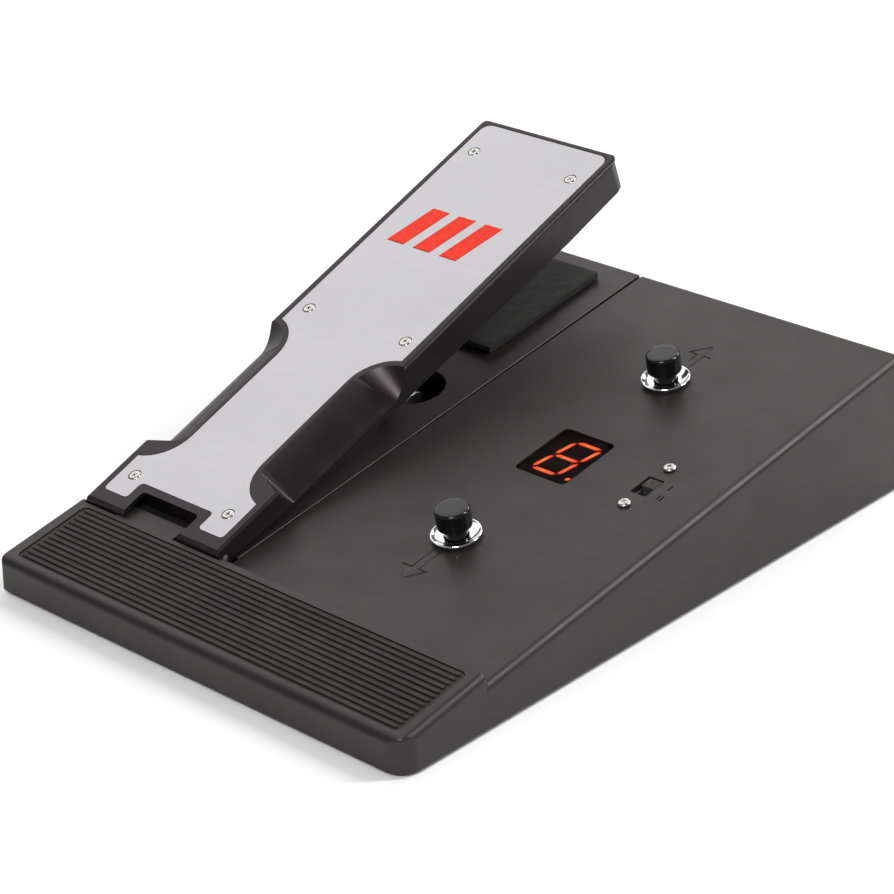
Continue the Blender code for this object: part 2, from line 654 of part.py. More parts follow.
def round_treadle_edges(mesh):
    """Weight the treadle's edges: round toe corners, soft edges around its top."""
    builder = bmesh.new()
    builder.from_mesh(mesh)
    weight = builder.edges.layers.float.new("bevel_weight_edge")
    for edge in builder.edges:
        first, second = (vert.co for vert in edge.verts)
        if edge.calc_face_angle() < 0.03:
            continue
        crosswise = abs(first.z - second.z) > 0.01
        toe = min(first.x, second.x) > TREADLE_TOE - 2 * MM
        top = min(first.y, second.y) > TREADLE_TOP - 0.1 * MM
        if toe and not crosswise:
            edge[weight] = 1.0
        elif top and (toe or not crosswise):
            edge[weight] = 0.25
    builder.to_mesh(mesh)
    builder.free()


def foot_plate():
    """Satin metal plate let into the treadle, its screws and a plain mark of slanted bars."""
    low = TREADLE_TOP - PLATE_THICKNESS
    piece = place("foot_plate", slab("foot_plate", [plate_outline(0)], PLATE_THICKNESS, low),
                  HINGE, look="satin_plate")
    holes = rods("plate_holes", PLATE_SCREWS, 3.1 * MM, low - MM, TREADLE_TOP + MM, 16)
    combine(piece, place("plate_holes", holes, HINGE))
    pockets = slab("mark_pockets", [bar_outline(x, 0.2 * MM) for x in EMBLEM_BARS],
                   2 * MM, TREADLE_TOP - 0.6 * MM)
    combine(piece, place("mark_pockets", pockets, HINGE))
    for number, x in enumerate(EMBLEM_BARS, 1):
        bar = slab(f"mark_bar_{number}", [bar_outline(x, 0)], 0.65 * MM, TREADLE_TOP - 0.4 * MM)
        place(f"mark_bar_{number}", bar, HINGE, look="red_enamel")
    screw = [(0, 6.3), (1.9, 6.3), (2.7, 5.9), (2.85, 5.3), (1.3, 4.9), (1.3, 0.2), (0, 0.2)]
    for number, (x, s) in enumerate(PLATE_SCREWS, 1):
        turn(f"plate_screw_{number}", scaled(screw), HINGE, (x, s, 0), "chrome", steps=12)


def bar_outline(x, grow):
    """One slanted bar of the mark."""
    half_width = 5 * MM + grow
    bottom = 188 * MM - grow
    top = 214 * MM + grow
    slant = 3.5 * MM
    return [(x - half_width - slant, bottom), (x + half_width - slant, bottom),
            (x + half_width + slant, top), (x - half_width + slant, top)]


def hinge_parts():
    """The hinge's pin, fixed in the housing's knuckle, and the bushes that turn on it."""
    half = 41.8 * MM
    pin = rods("hinge_pin", [(0, 0)], PIN_RADIUS, -half, half, 24)
    place("hinge_pin", pin, ORIGIN, (TREADLE_X, HINGE_Y, HINGE_Z), ACROSS, "steel")
    inner = PIN_RADIUS + 0.1 * MM
    for name, left, right in (("left", -42.2 * MM, -23.2 * MM), ("right", 18.3 * MM, 42.2 * MM)):
        profile = [(BUSH_RADIUS, right), (BUSH_RADIUS, left), (inner, left), (inner, right)]
        turn(f"hinge_bush_{name}", profile, HINGE, (0, 0, 0), "black_plastic", ACROSS, 24, True)


def stop_bumper():
    """Rubber block under the toe that meets the felt."""
    low = (-20 * MM, 220 * MM, -15.1 * MM)
    high = (20 * MM, 232 * MM, -9.5 * MM)
    piece = place("stop_bumper", block("stop_bumper", low, high), HINGE, look="rubber")
    rounded(piece, MM, 2)


# ---------------------------------------------------------------- rack and potentiometer

def involute(angle):
    """The involute function of a pressure angle."""
    return math.tan(angle) - angle


def gear_teeth(teeth, centres):
    """Outline points of a gear's teeth at the given centre angles, anticlockwise."""
    pitch = MODULE * teeth / 2
    base = pitch * math.cos(math.radians(20))
    root = pitch - 1.3 * MODULE
    backlash = 0.14 * MM
    half_tooth = math.pi / (2 * teeth) - backlash / (2 * pitch)
    flank = []
    for radius in (max(base, root), pitch, pitch + 0.9 * MODULE):
        spread = half_tooth + involute(math.radians(20)) - involute(math.acos(min(1.0, base / radius)))
        flank.append((radius, spread))
    flank.insert(0, (root - 0.01 * MM, flank[0][1]))
    points = []
    for centre in centres:
        for radius, spread in flank:
            points.append((radius * math.cos(centre - spread), radius * math.sin(centre - spread)))
        for radius, spread in reversed(flank):
            points.append((radius * math.cos(centre + spread), radius * math.sin(centre + spread)))
    return points


def rack():
    """Curved rack on the treadle, centred on the hinge, that turns the potentiometer."""
    pitch_angle = 2 * math.pi / RACK_TEETH
    mesh_line = MESH_ANGLE - TREADLE_TILT
    centres = [mesh_line + (i + 0.5) * pitch_angle for i in range(-3, 11)]
    root = RACK_RADIUS - 1.3 * MODULE
    inner = 132 * MM
    top = SKIN_UNDER - GAP
    lowest = math.degrees(centres[0] - pitch_angle)
    outline = arc((0, 0), root, lowest, lowest, 2)[:1] + gear_teeth(RACK_TEETH, centres)
    outline += arc((0, 0), root, math.degrees(centres[-1]) + 1.0, math.degrees(math.asin(top / root)), 4)
    outline += arc((0, 0), inner, math.degrees(math.asin(top / inner)), lowest, 8)
    on_hinge("treadle_rack", outline, -2 * MM, 2 * MM, "white_plastic")


def potentiometer():
    """Potentiometer under the deck, its shaft and pinion, and the bracket that holds it."""
    step = 2 * math.pi / PINION_TEETH
    start = math.pi + MESH_ANGLE
    teeth = gear_teeth(PINION_TEETH, [start + i * step for i in range(PINION_TEETH)])
    bore = arc((0, 0), 1.6 * MM, 0, 345, 24)
    pinion = slab("pinion", [teeth, bore], 5 * MM, -2.5 * MM)
    place("pinion", pinion, POT, (0, 0, 0), SIDEWAYS, "white_plastic")
    shaft = rods("pot_shaft", [(0, 0)], PIN_RADIUS, -2.8 * MM, 11 * MM, 24)
    place("pot_shaft", shaft, POT, (0, 0, 0), ACROSS, "steel")
    case = [(0, 15.5), (8, 15.5), (8, 7.7), (3.4, 7.7), (3.4, 3.5), (1.7, 3.5), (1.7, 12), (0, 12)]
    turn("potentiometer", scaled(case), POT, (0, 0, 0), "steel", ACROSS, 16)
    parallel_to_deck = empty("bracket_frame", POT, (0, 0, 0), (PANEL_SLOPE, 0, 0))
    under_deck = 8.5
    web = [(-6, -6), (6, -6), (15, 2), (26, 5), (26, under_deck), (17, under_deck), (10, 5), (-6, 5)]
    plate = slab("pot_bracket", [scaled(web)], 1.5 * MM, 5 * MM)
    piece = place("pot_bracket", plate, parallel_to_deck, (0, 0, 0), SIDEWAYS, "steel")
    flange = block("bracket_flange", (17.5 * MM, (under_deck - 1.5) * MM, 5.7 * MM),
                   (25.5 * MM, (under_deck - 0.1) * MM, 16 * MM))
    combine(piece, place("bracket_flange", flange, parallel_to_deck, (0, 0, 0), SIDEWAYS), "UNION")
    hole = rods("bracket_hole", [(0, 0)], 3.7 * MM, MM, 12 * MM)
    combine(piece, place("bracket_hole", hole, POT, (0, 0, 0), ACROSS))


# ---------------------------------------------------------------- controls

BOARD_TOP = -15 * MM
SEAT_TOP = -3.1 * MM


def button(which):
    """One push button: cap with stem, chrome collar, return spring and switch."""
    centre = (CONTROL_X, along_panel(BUTTON_Y[which]), 0)
    cap = [(0, 15), (6.4, 15), (7.4, 14.6), (7.8, 13.8), (7.8, 8.3), (7.1, 7.5), (5.3, 7), (4.9, 6),
           (4.9, -1), (1.5, -1), (1.5, -10), (0, -10)]
    turn(f"button_cap_{which}", scaled(cap), PANEL, centre, "black_plastic", steps=20)
    collar = [(10.2, 2.7), (11, 2.3), (11.2, 1.4), (10.4, 0.3), (5.6, 0.3), (5.6, 0.9), (7.2, 1), (9.4, 2.2)]
    turn(f"button_collar_{which}", scaled(collar), PANEL, centre, "chrome", steps=20, ring=True)
    half = 6.5 * MM
    low = (-half, -half, BOARD_TOP + GAP)
    body = block("switch", low, (half, half, -8.3 * MM))
    piece = place(f"button_switch_{which}", body, PANEL, centre, look="black_plastic")
    socket = rods("switch_socket", [(0, 0)], 1.9 * MM, -13.2 * MM, 0, 12)
    combine(piece, place("switch_socket", socket, PANEL, centre))
    spring(f"button_spring_{which}", centre)


def spring(name, centre):
    """Coil spring around the button's stem."""
    turns, steps = 3, 8
    bottom, top = -7.9 * MM, -1.4 * MM
    curve = bpy.data.curves.new(name, "CURVE")
    curve.dimensions = "3D"
    curve.bevel_depth = 0.3 * MM
    curve.bevel_resolution = 1
    curve.use_fill_caps = True
    spline = curve.splines.new("POLY")
    count = turns * steps + 1
    spline.points.add(count - 1)
    for i, point in enumerate(spline.points):
        angle = 2 * math.pi * i / steps
        height = bottom + (top - bottom) * i / (count - 1)
        point.co = (3 * MM * math.cos(angle), 3 * MM * math.sin(angle), height, 1.0)
    place(name, curve, PANEL, centre, look="steel")


def segment_outlines(grow):
    """Seven slim segments of a leaning figure and its point, each one outline."""
    half_width = 7.0 * MM
    half_height = 12.2 * MM
    half_bar = 1.15 * MM + grow
    shapes = []
    for y in (-half_height, 0.0, half_height):
        shapes.append(hexagon(0.0, y, half_width - 0.6 * MM + grow, half_bar, False))
    for x in (-half_width, half_width):
        for y in (-half_height / 2, half_height / 2):
            shapes.append(hexagon(x, y, half_height / 2 - 0.6 * MM + grow, half_bar, True))
    shapes.append(arc((13.6 * MM, -half_height), 1.3 * MM + grow, 0, 315, 8))
    lean = math.tan(FIGURE_LEAN)
    return [[(x + y * lean, y + FIGURE_LIFT) for x, y in shape] for shape in shapes]


def hexagon(x, y, half_length, half_width, upright):
    """A bar with pointed ends."""
    shoulder = half_length - half_width
    points = [(-half_length, 0), (-shoulder, -half_width), (shoulder, -half_width),
              (half_length, 0), (shoulder, half_width), (-shoulder, half_width)]
    if upright:
        points = [(-v, u) for u, v in points]
    return [(x + u, y + v) for u, v in points]


def display():
    """The figure display: clear cover, mask, lit segments and the module that carries them."""
    centre = (CONTROL_X, along_panel(WINDOW_Y), 0)
    clear = rounded_rectangle(*centred([side - 2 * GAP for side in WINDOW_SIZE]), 2.2 * MM)
    place("display_cover", slab("display_cover", [clear], 0.9 * MM, -1.2 * MM), PANEL, centre, look="lens")
    border = rounded_rectangle(*centred((33 * MM, 40 * MM)), MM, 2)
    mask_foot = SEAT_TOP - 0.9 * MM
    mask_top = -1.5 * MM
    mask = place("display_mask", slab("display_mask", [border], 0.9 * MM, mask_foot),
                 PANEL, centre, look="black_plastic")
    step = slab("mask_step", [clear], mask_top - SEAT_TOP + 0.4 * MM, SEAT_TOP - 0.4 * MM)
    combine(mask, place("mask_step", step, PANEL, centre), "UNION")
    windows = slab("mask_windows", segment_outlines(0.15 * MM), 6 * MM, -5 * MM)
    combine(mask, place("mask_windows", windows, PANEL, centre))
    light = rounded_rectangle(*centred((28 * MM, 35 * MM)), MM, 2)
    piece = place("display_segments", slab("display_segments", [light], 1.3 * MM, -5.6 * MM),
                  PANEL, centre, look="segments")
    raised = slab("raised_segments", segment_outlines(0), 3.3 * MM, -5 * MM)
    combine(piece, place("raised_segments", raised, PANEL, centre), "UNION")
    low, high = centred((30 * MM, 37 * MM))
    body = block("display_module", (*low, BOARD_TOP + GAP), (*high, -5.9 * MM))
    place("display_module", body, PANEL, centre, look="white_plastic")


def slide_switch():
    """Two-position slide switch under the panel, held by two screws."""
    centre = (SLIDE_X, along_panel(SLIDE_Y), 0)
    strap = rounded_rectangle(*centred((11 * MM, 38 * MM)), 2 * MM)
    plate = slab("slide_switch", [strap], MM, SEAT_TOP - MM)
    piece = place("slide_switch", plate, PANEL, centre, look="steel")
    case = block("switch_case", (-6 * MM, -10 * MM, -13 * MM), (6 * MM, 10 * MM, -3.6 * MM))
    combine(piece, place("switch_case", case, PANEL, centre), "UNION")
    well = block("switch_well", (-3.8 * MM, -6.6 * MM, -8 * MM), (3.8 * MM, 6.6 * MM, 0))
    combine(piece, place("switch_well", well, PANEL, centre))
    ends = [(0, side * SLIDE_SCREW_PITCH / 2) for side in (-1, 1)]
    holes = rods("strap_holes", ends, 1.75 * MM, -9 * MM, 0, 12)
    combine(piece, place("strap_holes", holes, PANEL, centre))
    grip = block("slide_knob", (-3.4 * MM, 0.2 * MM, -7.6 * MM), (3.4 * MM, 6.2 * MM, -0.4 * MM))
    knob = place("slide_knob", grip, PANEL, centre, look="black_plastic")
    rounded(knob, 0.3 * MM, 1)
    screw = [(0, 1.7), (1.8, 1.7), (2.8, 1.2), (3, 0.3), (1.4, 0.3), (1.4, -6), (0, -6)]
    for number, (x, y) in enumerate(ends, 1):
        at = (centre[0] + x, centre[1] + y, 0)
        turn(f"slide_screw_{number}", scaled(screw), PANEL, at, "chrome", steps=16)


def control_board():
    """Circuit board under the panel that the buttons and the display stand on."""
    low = (128 * MM, along_panel(98 * MM))
    high = (192 * MM, along_panel(274 * MM))
    outline = rounded_rectangle(low, high, 2 * MM, 2)
    board = slab("control_board", [outline], 1.6 * MM, BOARD_TOP - 1.6 * MM)
    place("control_board", board, PANEL, look="board")


# ---------------------------------------------------------------- connectors

def jack(which):
    """A jack socket behind the rear wall with its nut outside."""
    at = (JACK_X[which], 0, CONNECTOR_Z)
    low = (-8 * MM, 298.2 * MM, -7 * MM)
    body = block("jack", low, (8 * MM, WALL_INSIDE_Y - GAP, 7 * MM))
    piece = place(f"{which}_jack", body, ORIGIN, at, look="black_plastic")
    sleeve = rods("jack_sleeve", [(0, 0)], 4.5 * MM, 318 * MM, CONNECTOR_END_Y)
    combine(piece, place("jack_sleeve", sleeve, ORIGIN, at, BACKWARDS), "UNION")
    bore = rods("jack_bore", [(0, 0)], 3.3 * MM, 301 * MM, 331 * MM)
    combine(piece, place("jack_bore", bore, ORIGIN, at, BACKWARDS))
    nut_outline = arc((0, 0), 6.8 * MM, 0, 300, 6)
    nut = slab("jack_nut", [nut_outline, arc((0, 0), 4.7 * MM, 0, 337.5, 16)], 2.2 * MM, 325.8 * MM)
    place(f"{which}_jack_nut", nut, ORIGIN, at, BACKWARDS, "chrome")


def power_inlet():
    """Round low-voltage socket with a centre pin."""
    at = (INLET_X, 0, CONNECTOR_Z)
    body = block("inlet", (-5.5 * MM, 306 * MM, -5.5 * MM), (5.5 * MM, WALL_INSIDE_Y - GAP, 5.5 * MM))
    piece = place("power_inlet", body, ORIGIN, at, look="black_plastic")
    sleeve = rods("inlet_sleeve", [(0, 0)], 4 * MM, 318 * MM, 325.6 * MM)
    combine(piece, place("inlet_sleeve", sleeve, ORIGIN, at, BACKWARDS), "UNION")
    bore = rods("inlet_bore", [(0, 0)], 2.8 * MM, 313 * MM, 331 * MM)
    combine(piece, place("inlet_bore", bore, ORIGIN, at, BACKWARDS))
    pin = rods("inlet_pin", [(0, 0)], MM, 310 * MM, 323 * MM, 8)
    combine(piece, place("inlet_pin", pin, ORIGIN, at, BACKWARDS), "UNION")


housing()
heel_mat()
deck_plate()
felt_pad()
base_sheet()
treadle()
foot_plate()
hinge_parts()
stop_bumper()
rack()
potentiometer()
button("front")
button("rear")
display()
slide_switch()
control_board()
jack("input")
jack("output")
power_inlet()
bpy.context.view_layer.update()
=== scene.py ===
"""Looks of the foot pedal unit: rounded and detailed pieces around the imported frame."""

import json
import math
import random

import bmesh
import bpy
from mathutils import Matrix, Vector, noise

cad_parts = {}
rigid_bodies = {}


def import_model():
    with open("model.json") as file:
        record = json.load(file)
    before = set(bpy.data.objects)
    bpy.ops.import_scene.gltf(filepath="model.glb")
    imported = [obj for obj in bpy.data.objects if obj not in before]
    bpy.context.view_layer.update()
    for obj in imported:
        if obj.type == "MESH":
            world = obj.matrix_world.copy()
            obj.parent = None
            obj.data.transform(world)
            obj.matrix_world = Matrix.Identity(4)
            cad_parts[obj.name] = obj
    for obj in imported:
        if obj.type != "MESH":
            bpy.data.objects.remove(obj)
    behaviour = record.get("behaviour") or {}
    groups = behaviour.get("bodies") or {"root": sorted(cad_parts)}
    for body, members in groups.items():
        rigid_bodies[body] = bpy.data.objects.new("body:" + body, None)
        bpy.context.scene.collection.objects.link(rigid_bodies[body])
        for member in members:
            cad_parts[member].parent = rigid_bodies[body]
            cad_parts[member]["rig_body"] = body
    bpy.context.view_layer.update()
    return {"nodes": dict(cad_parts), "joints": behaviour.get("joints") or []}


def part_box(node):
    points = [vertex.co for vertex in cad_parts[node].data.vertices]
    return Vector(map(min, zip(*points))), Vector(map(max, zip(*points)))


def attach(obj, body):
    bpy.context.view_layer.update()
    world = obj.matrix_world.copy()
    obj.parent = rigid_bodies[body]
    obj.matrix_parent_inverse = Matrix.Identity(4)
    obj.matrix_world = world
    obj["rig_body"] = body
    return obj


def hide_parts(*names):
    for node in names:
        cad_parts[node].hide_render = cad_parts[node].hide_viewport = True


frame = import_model()
NODES = frame["nodes"]
MM = 0.001

FOOT_HEIGHT = 2.0 * MM
PANEL_FRONT_Z = 11.1 * MM
PANEL_SLOPE = math.atan(0.1606)
TREADLE_TILT = math.radians(20.7)
CORNER = Vector((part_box("housing")[0].x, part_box("housing")[0].y, FOOT_HEIGHT))
HINGE_AXIS = Vector(next(j["pos_m"] for j in frame["joints"] if j["name"] == "treadle_hinge"))

# The panel's plane starts at the front left corner of the unit, the plate's at the treadle's hinge.
PANEL = Matrix.Translation(CORNER + Vector((0, 0, PANEL_FRONT_Z))) @ Matrix.Rotation(PANEL_SLOPE, 4, "X")
HINGE = Matrix.Translation(HINGE_AXIS) @ Matrix.Rotation(TREADLE_TILT, 4, "X")


# ---------------------------------------------------------------- material nodes

# Tint of the satin blacks' reflections.
WARM = (1.0, 0.89, 0.92, 1.0)


class Surface:
    """A Principled material whose colour, roughness and bump come from noise in metres."""

    def __init__(self, name, roughness, metallic=0.0, **fixed):
        self.material = bpy.data.materials.new(name)
        self.material.use_nodes = True
        self.tree = self.material.node_tree
        self.shader = self.tree.nodes["Principled BSDF"]
        self.shader.inputs["Metallic"].default_value = metallic
        self.shader.inputs["Roughness"].default_value = roughness
        for socket, value in fixed.items():
            self.shader.inputs[socket.replace("_", " ")].default_value = value
        self.place = self.node("ShaderNodeTexCoord").outputs["Object"]
        self.normal = None

    def node(self, kind, **settings):
        made = self.tree.nodes.new(kind)
        for key, value in settings.items():
            setattr(made, key, value)
        return made

    def link(self, output, target):
        self.tree.links.new(output, target)

    def noise(self, scale, detail=3.0, distortion=0.0, stretch=None, turn=None):
        """Noise with scale cycles a metre, stretched and turned where that is asked for."""
        place = self.place
        if stretch or turn:
            mapping = self.node("ShaderNodeMapping")
            mapping.inputs["Scale"].default_value = stretch or (1, 1, 1)
            mapping.inputs["Rotation"].default_value = turn or (0, 0, 0)
            self.link(place, mapping.inputs["Vector"])
            place = mapping.outputs["Vector"]
        texture = self.node("ShaderNodeTexNoise")
        texture.inputs["Scale"].default_value = scale
        texture.inputs["Detail"].default_value = detail
        texture.inputs["Distortion"].default_value = distortion
        self.link(place, texture.inputs["Vector"])
        return texture.outputs["Fac"]

    def spread(self, value, low, high, start=0.3, end=0.7):
        """A noise value, mapped to run from low to high."""
        ranged = self.node("ShaderNodeMapRange")
        for key, number in (("From Min", start), ("From Max", end), ("To Min", low), ("To Max", high)):
            ranged.inputs[key].default_value = number
        self.link(value, ranged.inputs["Value"])
        return ranged.outputs["Result"]

    def colours(self, value, stops):
        """A colour ramp over a value: stops are (position, colour)."""
        ramp = self.node("ShaderNodeValToRGB")
        elements = ramp.color_ramp.elements
        while len(elements) < len(stops):
            elements.new(0.5)
        for element, (position, colour) in zip(elements, stops):
            element.position = position
            element.color = (*colour, 1.0)
        self.link(value, ramp.inputs["Fac"])
        return ramp.outputs["Color"]

    def mix(self, share, first, second):
        """Two colours mixed by a share; each is an output or a plain colour."""
        mixed = self.node("ShaderNodeMix", data_type="RGBA")
        self.link(share, mixed.inputs["Factor"])
        for colour, socket in ((first, mixed.inputs[6]), (second, mixed.inputs[7])):
            if isinstance(colour, tuple):
                socket.default_value = (*colour, 1.0)
            else:
                self.link(colour, socket)
        return mixed.outputs[2]

    def paint(self, colour):
        self.link(colour, self.shader.inputs["Base Color"])

    def edge_wear_and_highlight(self, colour, edge):
        """A colour made paler, in patches, on the rounded edges: partly rubbed wear, partly a painted edge
        highlight.
        """
        wear_and_highlight_mask = self.node("ShaderNodeAttribute", attribute_name="edge").outputs["Fac"]
        patches = self.spread(self.noise(240, 4), 0.25, 1.0, 0.35, 0.6)
        share = self.node("ShaderNodeMath", operation="MULTIPLY")
        self.link(wear_and_highlight_mask, share.inputs[0])
        self.link(patches, share.inputs[1])
        return self.mix(share.outputs["Value"], colour, edge)

    def rough(self, value, low, high):
        self.link(self.spread(value, low, high), self.shader.inputs["Roughness"])

    def bump(self, height, depth, strength=1.0):
        """Relief of a depth in metres; several add up."""
        relief = self.node("ShaderNodeBump")
        relief.inputs["Distance"].default_value = depth
        relief.inputs["Strength"].default_value = strength
        self.link(height, relief.inputs["Height"])
        if self.normal:
            self.link(self.normal, relief.inputs["Normal"])
        self.normal = relief.outputs["Normal"]
        self.link(self.normal, self.shader.inputs["Normal"])


def powder_coat():
    """Satin black paint with a fine orange peel; its edges paler in patches, partly rubbed wear and partly a
    painted edge highlight.
    """
    look = Surface("satin_paint", 0.42, Specular_IOR_Level=0.48, Specular_Tint=WARM)
    cloud = look.noise(22, 4)
    grain = look.noise(1900, 2)
    base = look.colours(cloud, [(0.35, (0.0100, 0.0082, 0.0084)), (0.7, (0.0140, 0.0116, 0.0118))])
    # Rounded edges paler in patches: wear and a painted edge highlight.
    look.paint(look.edge_wear_and_highlight(base, (0.046, 0.042, 0.041)))
    look.rough(look.noise(60, 5), 0.38, 0.47)
    look.bump(grain, 0.00005, 0.5)
    return look.material


def moulded_black():
    """Black moulded plastic with a spark-eroded skin."""
    look = Surface("moulded_black", 0.34, Specular_IOR_Level=0.36, Specular_Tint=WARM)
    base = look.colours(look.noise(35, 4), [
        (0.3, (0.0040, 0.0036, 0.0037)), (0.75, (0.0065, 0.0060, 0.0060))])
    # Rounded edges paler in patches: wear and a painted edge highlight.
    look.paint(look.edge_wear_and_highlight(base, (0.022, 0.021, 0.021)))
    look.rough(look.noise(90, 5), 0.30, 0.40)
    look.bump(look.noise(2600, 2), 0.00003, 0.45)
    return look.material


def gloss_black():
    """Polished black plastic with faint rubbing marks."""
    look = Surface("gloss_black", 0.12, Specular_IOR_Level=0.32, Coat_Weight=0.12, Coat_Roughness=0.05)
    look.paint(look.colours(look.noise(120, 4), [
        (0.3, (0.0050, 0.0048, 0.0048)), (0.8, (0.0080, 0.0075, 0.0075))]))
    look.rough(look.noise(300, 6, 1.5), 0.09, 0.19)
    look.bump(look.noise(900, 3), 0.00001, 0.25)
    return look.material


def ribbed_rubber():
    """Black rubber, dull, with dust held in its pores."""
    look = Surface("black_rubber", 0.6, Specular_IOR_Level=0.32, Specular_Tint=WARM)
    base = look.colours(look.noise(40, 5), [
        (0.3, (0.0150, 0.0135, 0.0132)), (0.75, (0.0240, 0.0215, 0.0210))])
    dust = look.spread(look.noise(3200, 2), 0.0, 0.35, 0.62, 0.80)
    dusty = look.mix(dust, base, (0.060, 0.055, 0.053))
    # Rounded edges paler in patches: wear and a painted edge highlight.
    look.paint(look.edge_wear_and_highlight(dusty, (0.036, 0.033, 0.032)))
    look.rough(look.noise(150, 4), 0.50, 0.66)
    look.bump(look.noise(1500, 3), 0.00008, 0.5)
    return look.material


def black_felt():
    """Matted black wool felt: tangled fibres with a faint sheen."""
    look = Surface("black_felt", 0.95, Sheen_Weight=0.12, Sheen_Roughness=0.5, Specular_IOR_Level=0.2)
    fibres = look.noise(1300, 5, 3.5)
    clumps = look.noise(160, 4, 1.0)
    base = look.colours(fibres, [
        (0.34, (0.0045, 0.0040, 0.0040)), (0.58, (0.0170, 0.0155, 0.0148)), (0.74, (0.0420, 0.0385, 0.0365))])
    look.paint(look.mix(look.spread(clumps, 0.0, 0.5), base, (0.0100, 0.0090, 0.0088)))
    look.rough(fibres, 0.88, 1.0)
    look.bump(clumps, 0.0006, 0.5)
    look.bump(fibres, 0.0004, 0.8)
    return look.material


def satin_aluminium():
    """Bead-blasted, anodised aluminium: an even pale grey with a fine grain."""
    look = Surface("satin_aluminium", 0.36, metallic=0.85)
    grain = look.noise(4200, 2)
    sweep = look.noise(1.0, 3, 0.0, (26, 900, 900), (-TREADLE_TILT, 0, 0))
    base = look.colours(look.noise(14, 3), [(0.3, (0.490, 0.482, 0.494)), (0.75, (0.535, 0.526, 0.540))])
    look.paint(look.mix(look.spread(grain, 0.0, 0.22), base, (0.420, 0.413, 0.425)))
    look.rough(sweep, 0.34, 0.42)
    look.bump(grain, 0.000015, 0.35)
    return look.material


def red_enamel():
    """Red enamel filled into the plate, slightly uneven."""
    look = Surface("red_enamel", 0.4, Specular_IOR_Level=0.15)
    look.paint(look.colours(look.noise(420, 4), [(0.3, (0.66, 0.020, 0.006)), (0.7, (0.86, 0.034, 0.008))]))
    look.rough(look.noise(500, 3), 0.34, 0.5)
    look.bump(look.noise(700, 3), 0.00012, 0.6)
    return look.material


def metal(name, colour, dark, low, high, scratch=(40, 1500, 1500)):
    """Bare or plated metal with fine rubbing marks."""
    look = Surface(name, (low + high) / 2, metallic=1.0)
    marks = look.noise(1.0, 4, 0.0, scratch)
    look.paint(look.mix(look.spread(look.noise(260, 5), 0.0, 1.0), colour, dark))
    look.rough(marks, low, high)
    look.bump(marks, 0.000008, 0.4)
    return look.material


def grip_plastic():
    """Black plastic with a coarse grain that catches the light, for the slide's grip."""
    look = Surface("grained_grip", 0.5, Specular_IOR_Level=0.5)
    grain = look.noise(2400, 2)
    base = look.colours(grain, [(0.40, (0.012, 0.011, 0.011)), (0.62, (0.070, 0.066, 0.064))])
    # Rounded edges paler in patches: wear and a painted edge highlight.
    look.paint(look.edge_wear_and_highlight(base, (0.050, 0.047, 0.046)))
    look.rough(look.noise(900, 3), 0.38, 0.6)
    look.bump(grain, 0.00012, 0.8)
    return look.material


def smoked_lens():
    """Clear smoked cover of the figure."""
    look = Surface("smoked_lens", 0.04, Transmission_Weight=1.0, IOR=1.035, Specular_IOR_Level=0.2)
    look.paint(look.colours(look.noise(90, 2), [(0.3, (0.60, 0.50, 0.48)), (0.7, (0.66, 0.55, 0.52))]))
    look.rough(look.noise(400, 3), 0.02, 0.06)
    return look.material


def lit_segments():
    """Lit bars: bright orange along the middle, deep red at the rim."""
    look = Surface("lit_segments", 0.4)
    core = look.node("ShaderNodeAttribute", attribute_name="core").outputs["Fac"]
    waver = look.spread(look.noise(500, 3), 0.85, 1.1)
    level = look.node("ShaderNodeMath", operation="MULTIPLY")
    look.link(core, level.inputs[0])
    look.link(waver, level.inputs[1])
    glow = look.colours(level.outputs["Value"], [
        (0.0, (0.45, 0.010, 0.003)), (0.5, (1.0, 0.070, 0.016)),
        (0.85, (1.0, 0.22, 0.070)), (1.0, (1.0, 0.50, 0.18))])
    look.paint(glow)
    look.link(glow, look.shader.inputs["Emission Color"])
    look.shader.inputs["Emission Strength"].default_value = 1.15
    return look.material


def pale_plastic():
    """Off-white nylon of the gears and of the module's case."""
    look = Surface("pale_nylon", 0.5, Subsurface_Weight=0.08)
    look.paint(look.colours(look.noise(200, 4), [(0.3, (0.62, 0.61, 0.57)), (0.7, (0.70, 0.69, 0.65))]))
    look.rough(look.noise(300, 4), 0.42, 0.56)
    look.bump(look.noise(1800, 2), 0.00003, 0.4)
    return look.material


def green_board():
    """Green solder mask over copper tracks."""
    look = Surface("green_board", 0.35)
    tracks = look.noise(1.0, 0, 0.0, (500, 60, 60))
    look.paint(look.colours(tracks, [(0.47, (0.010, 0.105, 0.040)), (0.53, (0.018, 0.165, 0.062))]))
    look.rough(look.noise(200, 3), 0.30, 0.42)
    look.bump(tracks, 0.00004, 0.5)
    return look.material


def dark_marks():
    """Matt printing ink."""
    look = Surface("dark_ink", 0.7, Specular_IOR_Level=0.1)
    look.paint(look.colours(look.noise(900, 3), [
        (0.3, (0.0035, 0.003, 0.003)), (0.8, (0.008, 0.007, 0.007))]))
    look.rough(look.noise(900, 3), 0.6, 0.8)
    return look.material


LOOKS = {
    "paint": powder_coat(),
    "moulded": moulded_black(),
    "gloss": gloss_black(),
    "grip": grip_plastic(),
    "rubber": ribbed_rubber(),
    "felt": black_felt(),
    "plate": satin_aluminium(),
    "red": red_enamel(),
    "nickel": metal("bright_nickel", (0.66, 0.635, 0.605), (0.54, 0.515, 0.485), 0.12, 0.24),
    "chrome": metal("polished_chrome", (0.86, 0.86, 0.87), (0.78, 0.78, 0.80), 0.05, 0.11),
    "zinc": metal("zinc_plate", (0.58, 0.58, 0.60), (0.47, 0.48, 0.52), 0.28, 0.42, (30, 700, 700)),
    "lens": smoked_lens(),
    "glow": lit_segments(),
    "nylon": pale_plastic(),
    "board": green_board(),
    "ink": dark_marks(),
}


# ---------------------------------------------------------------- pieces

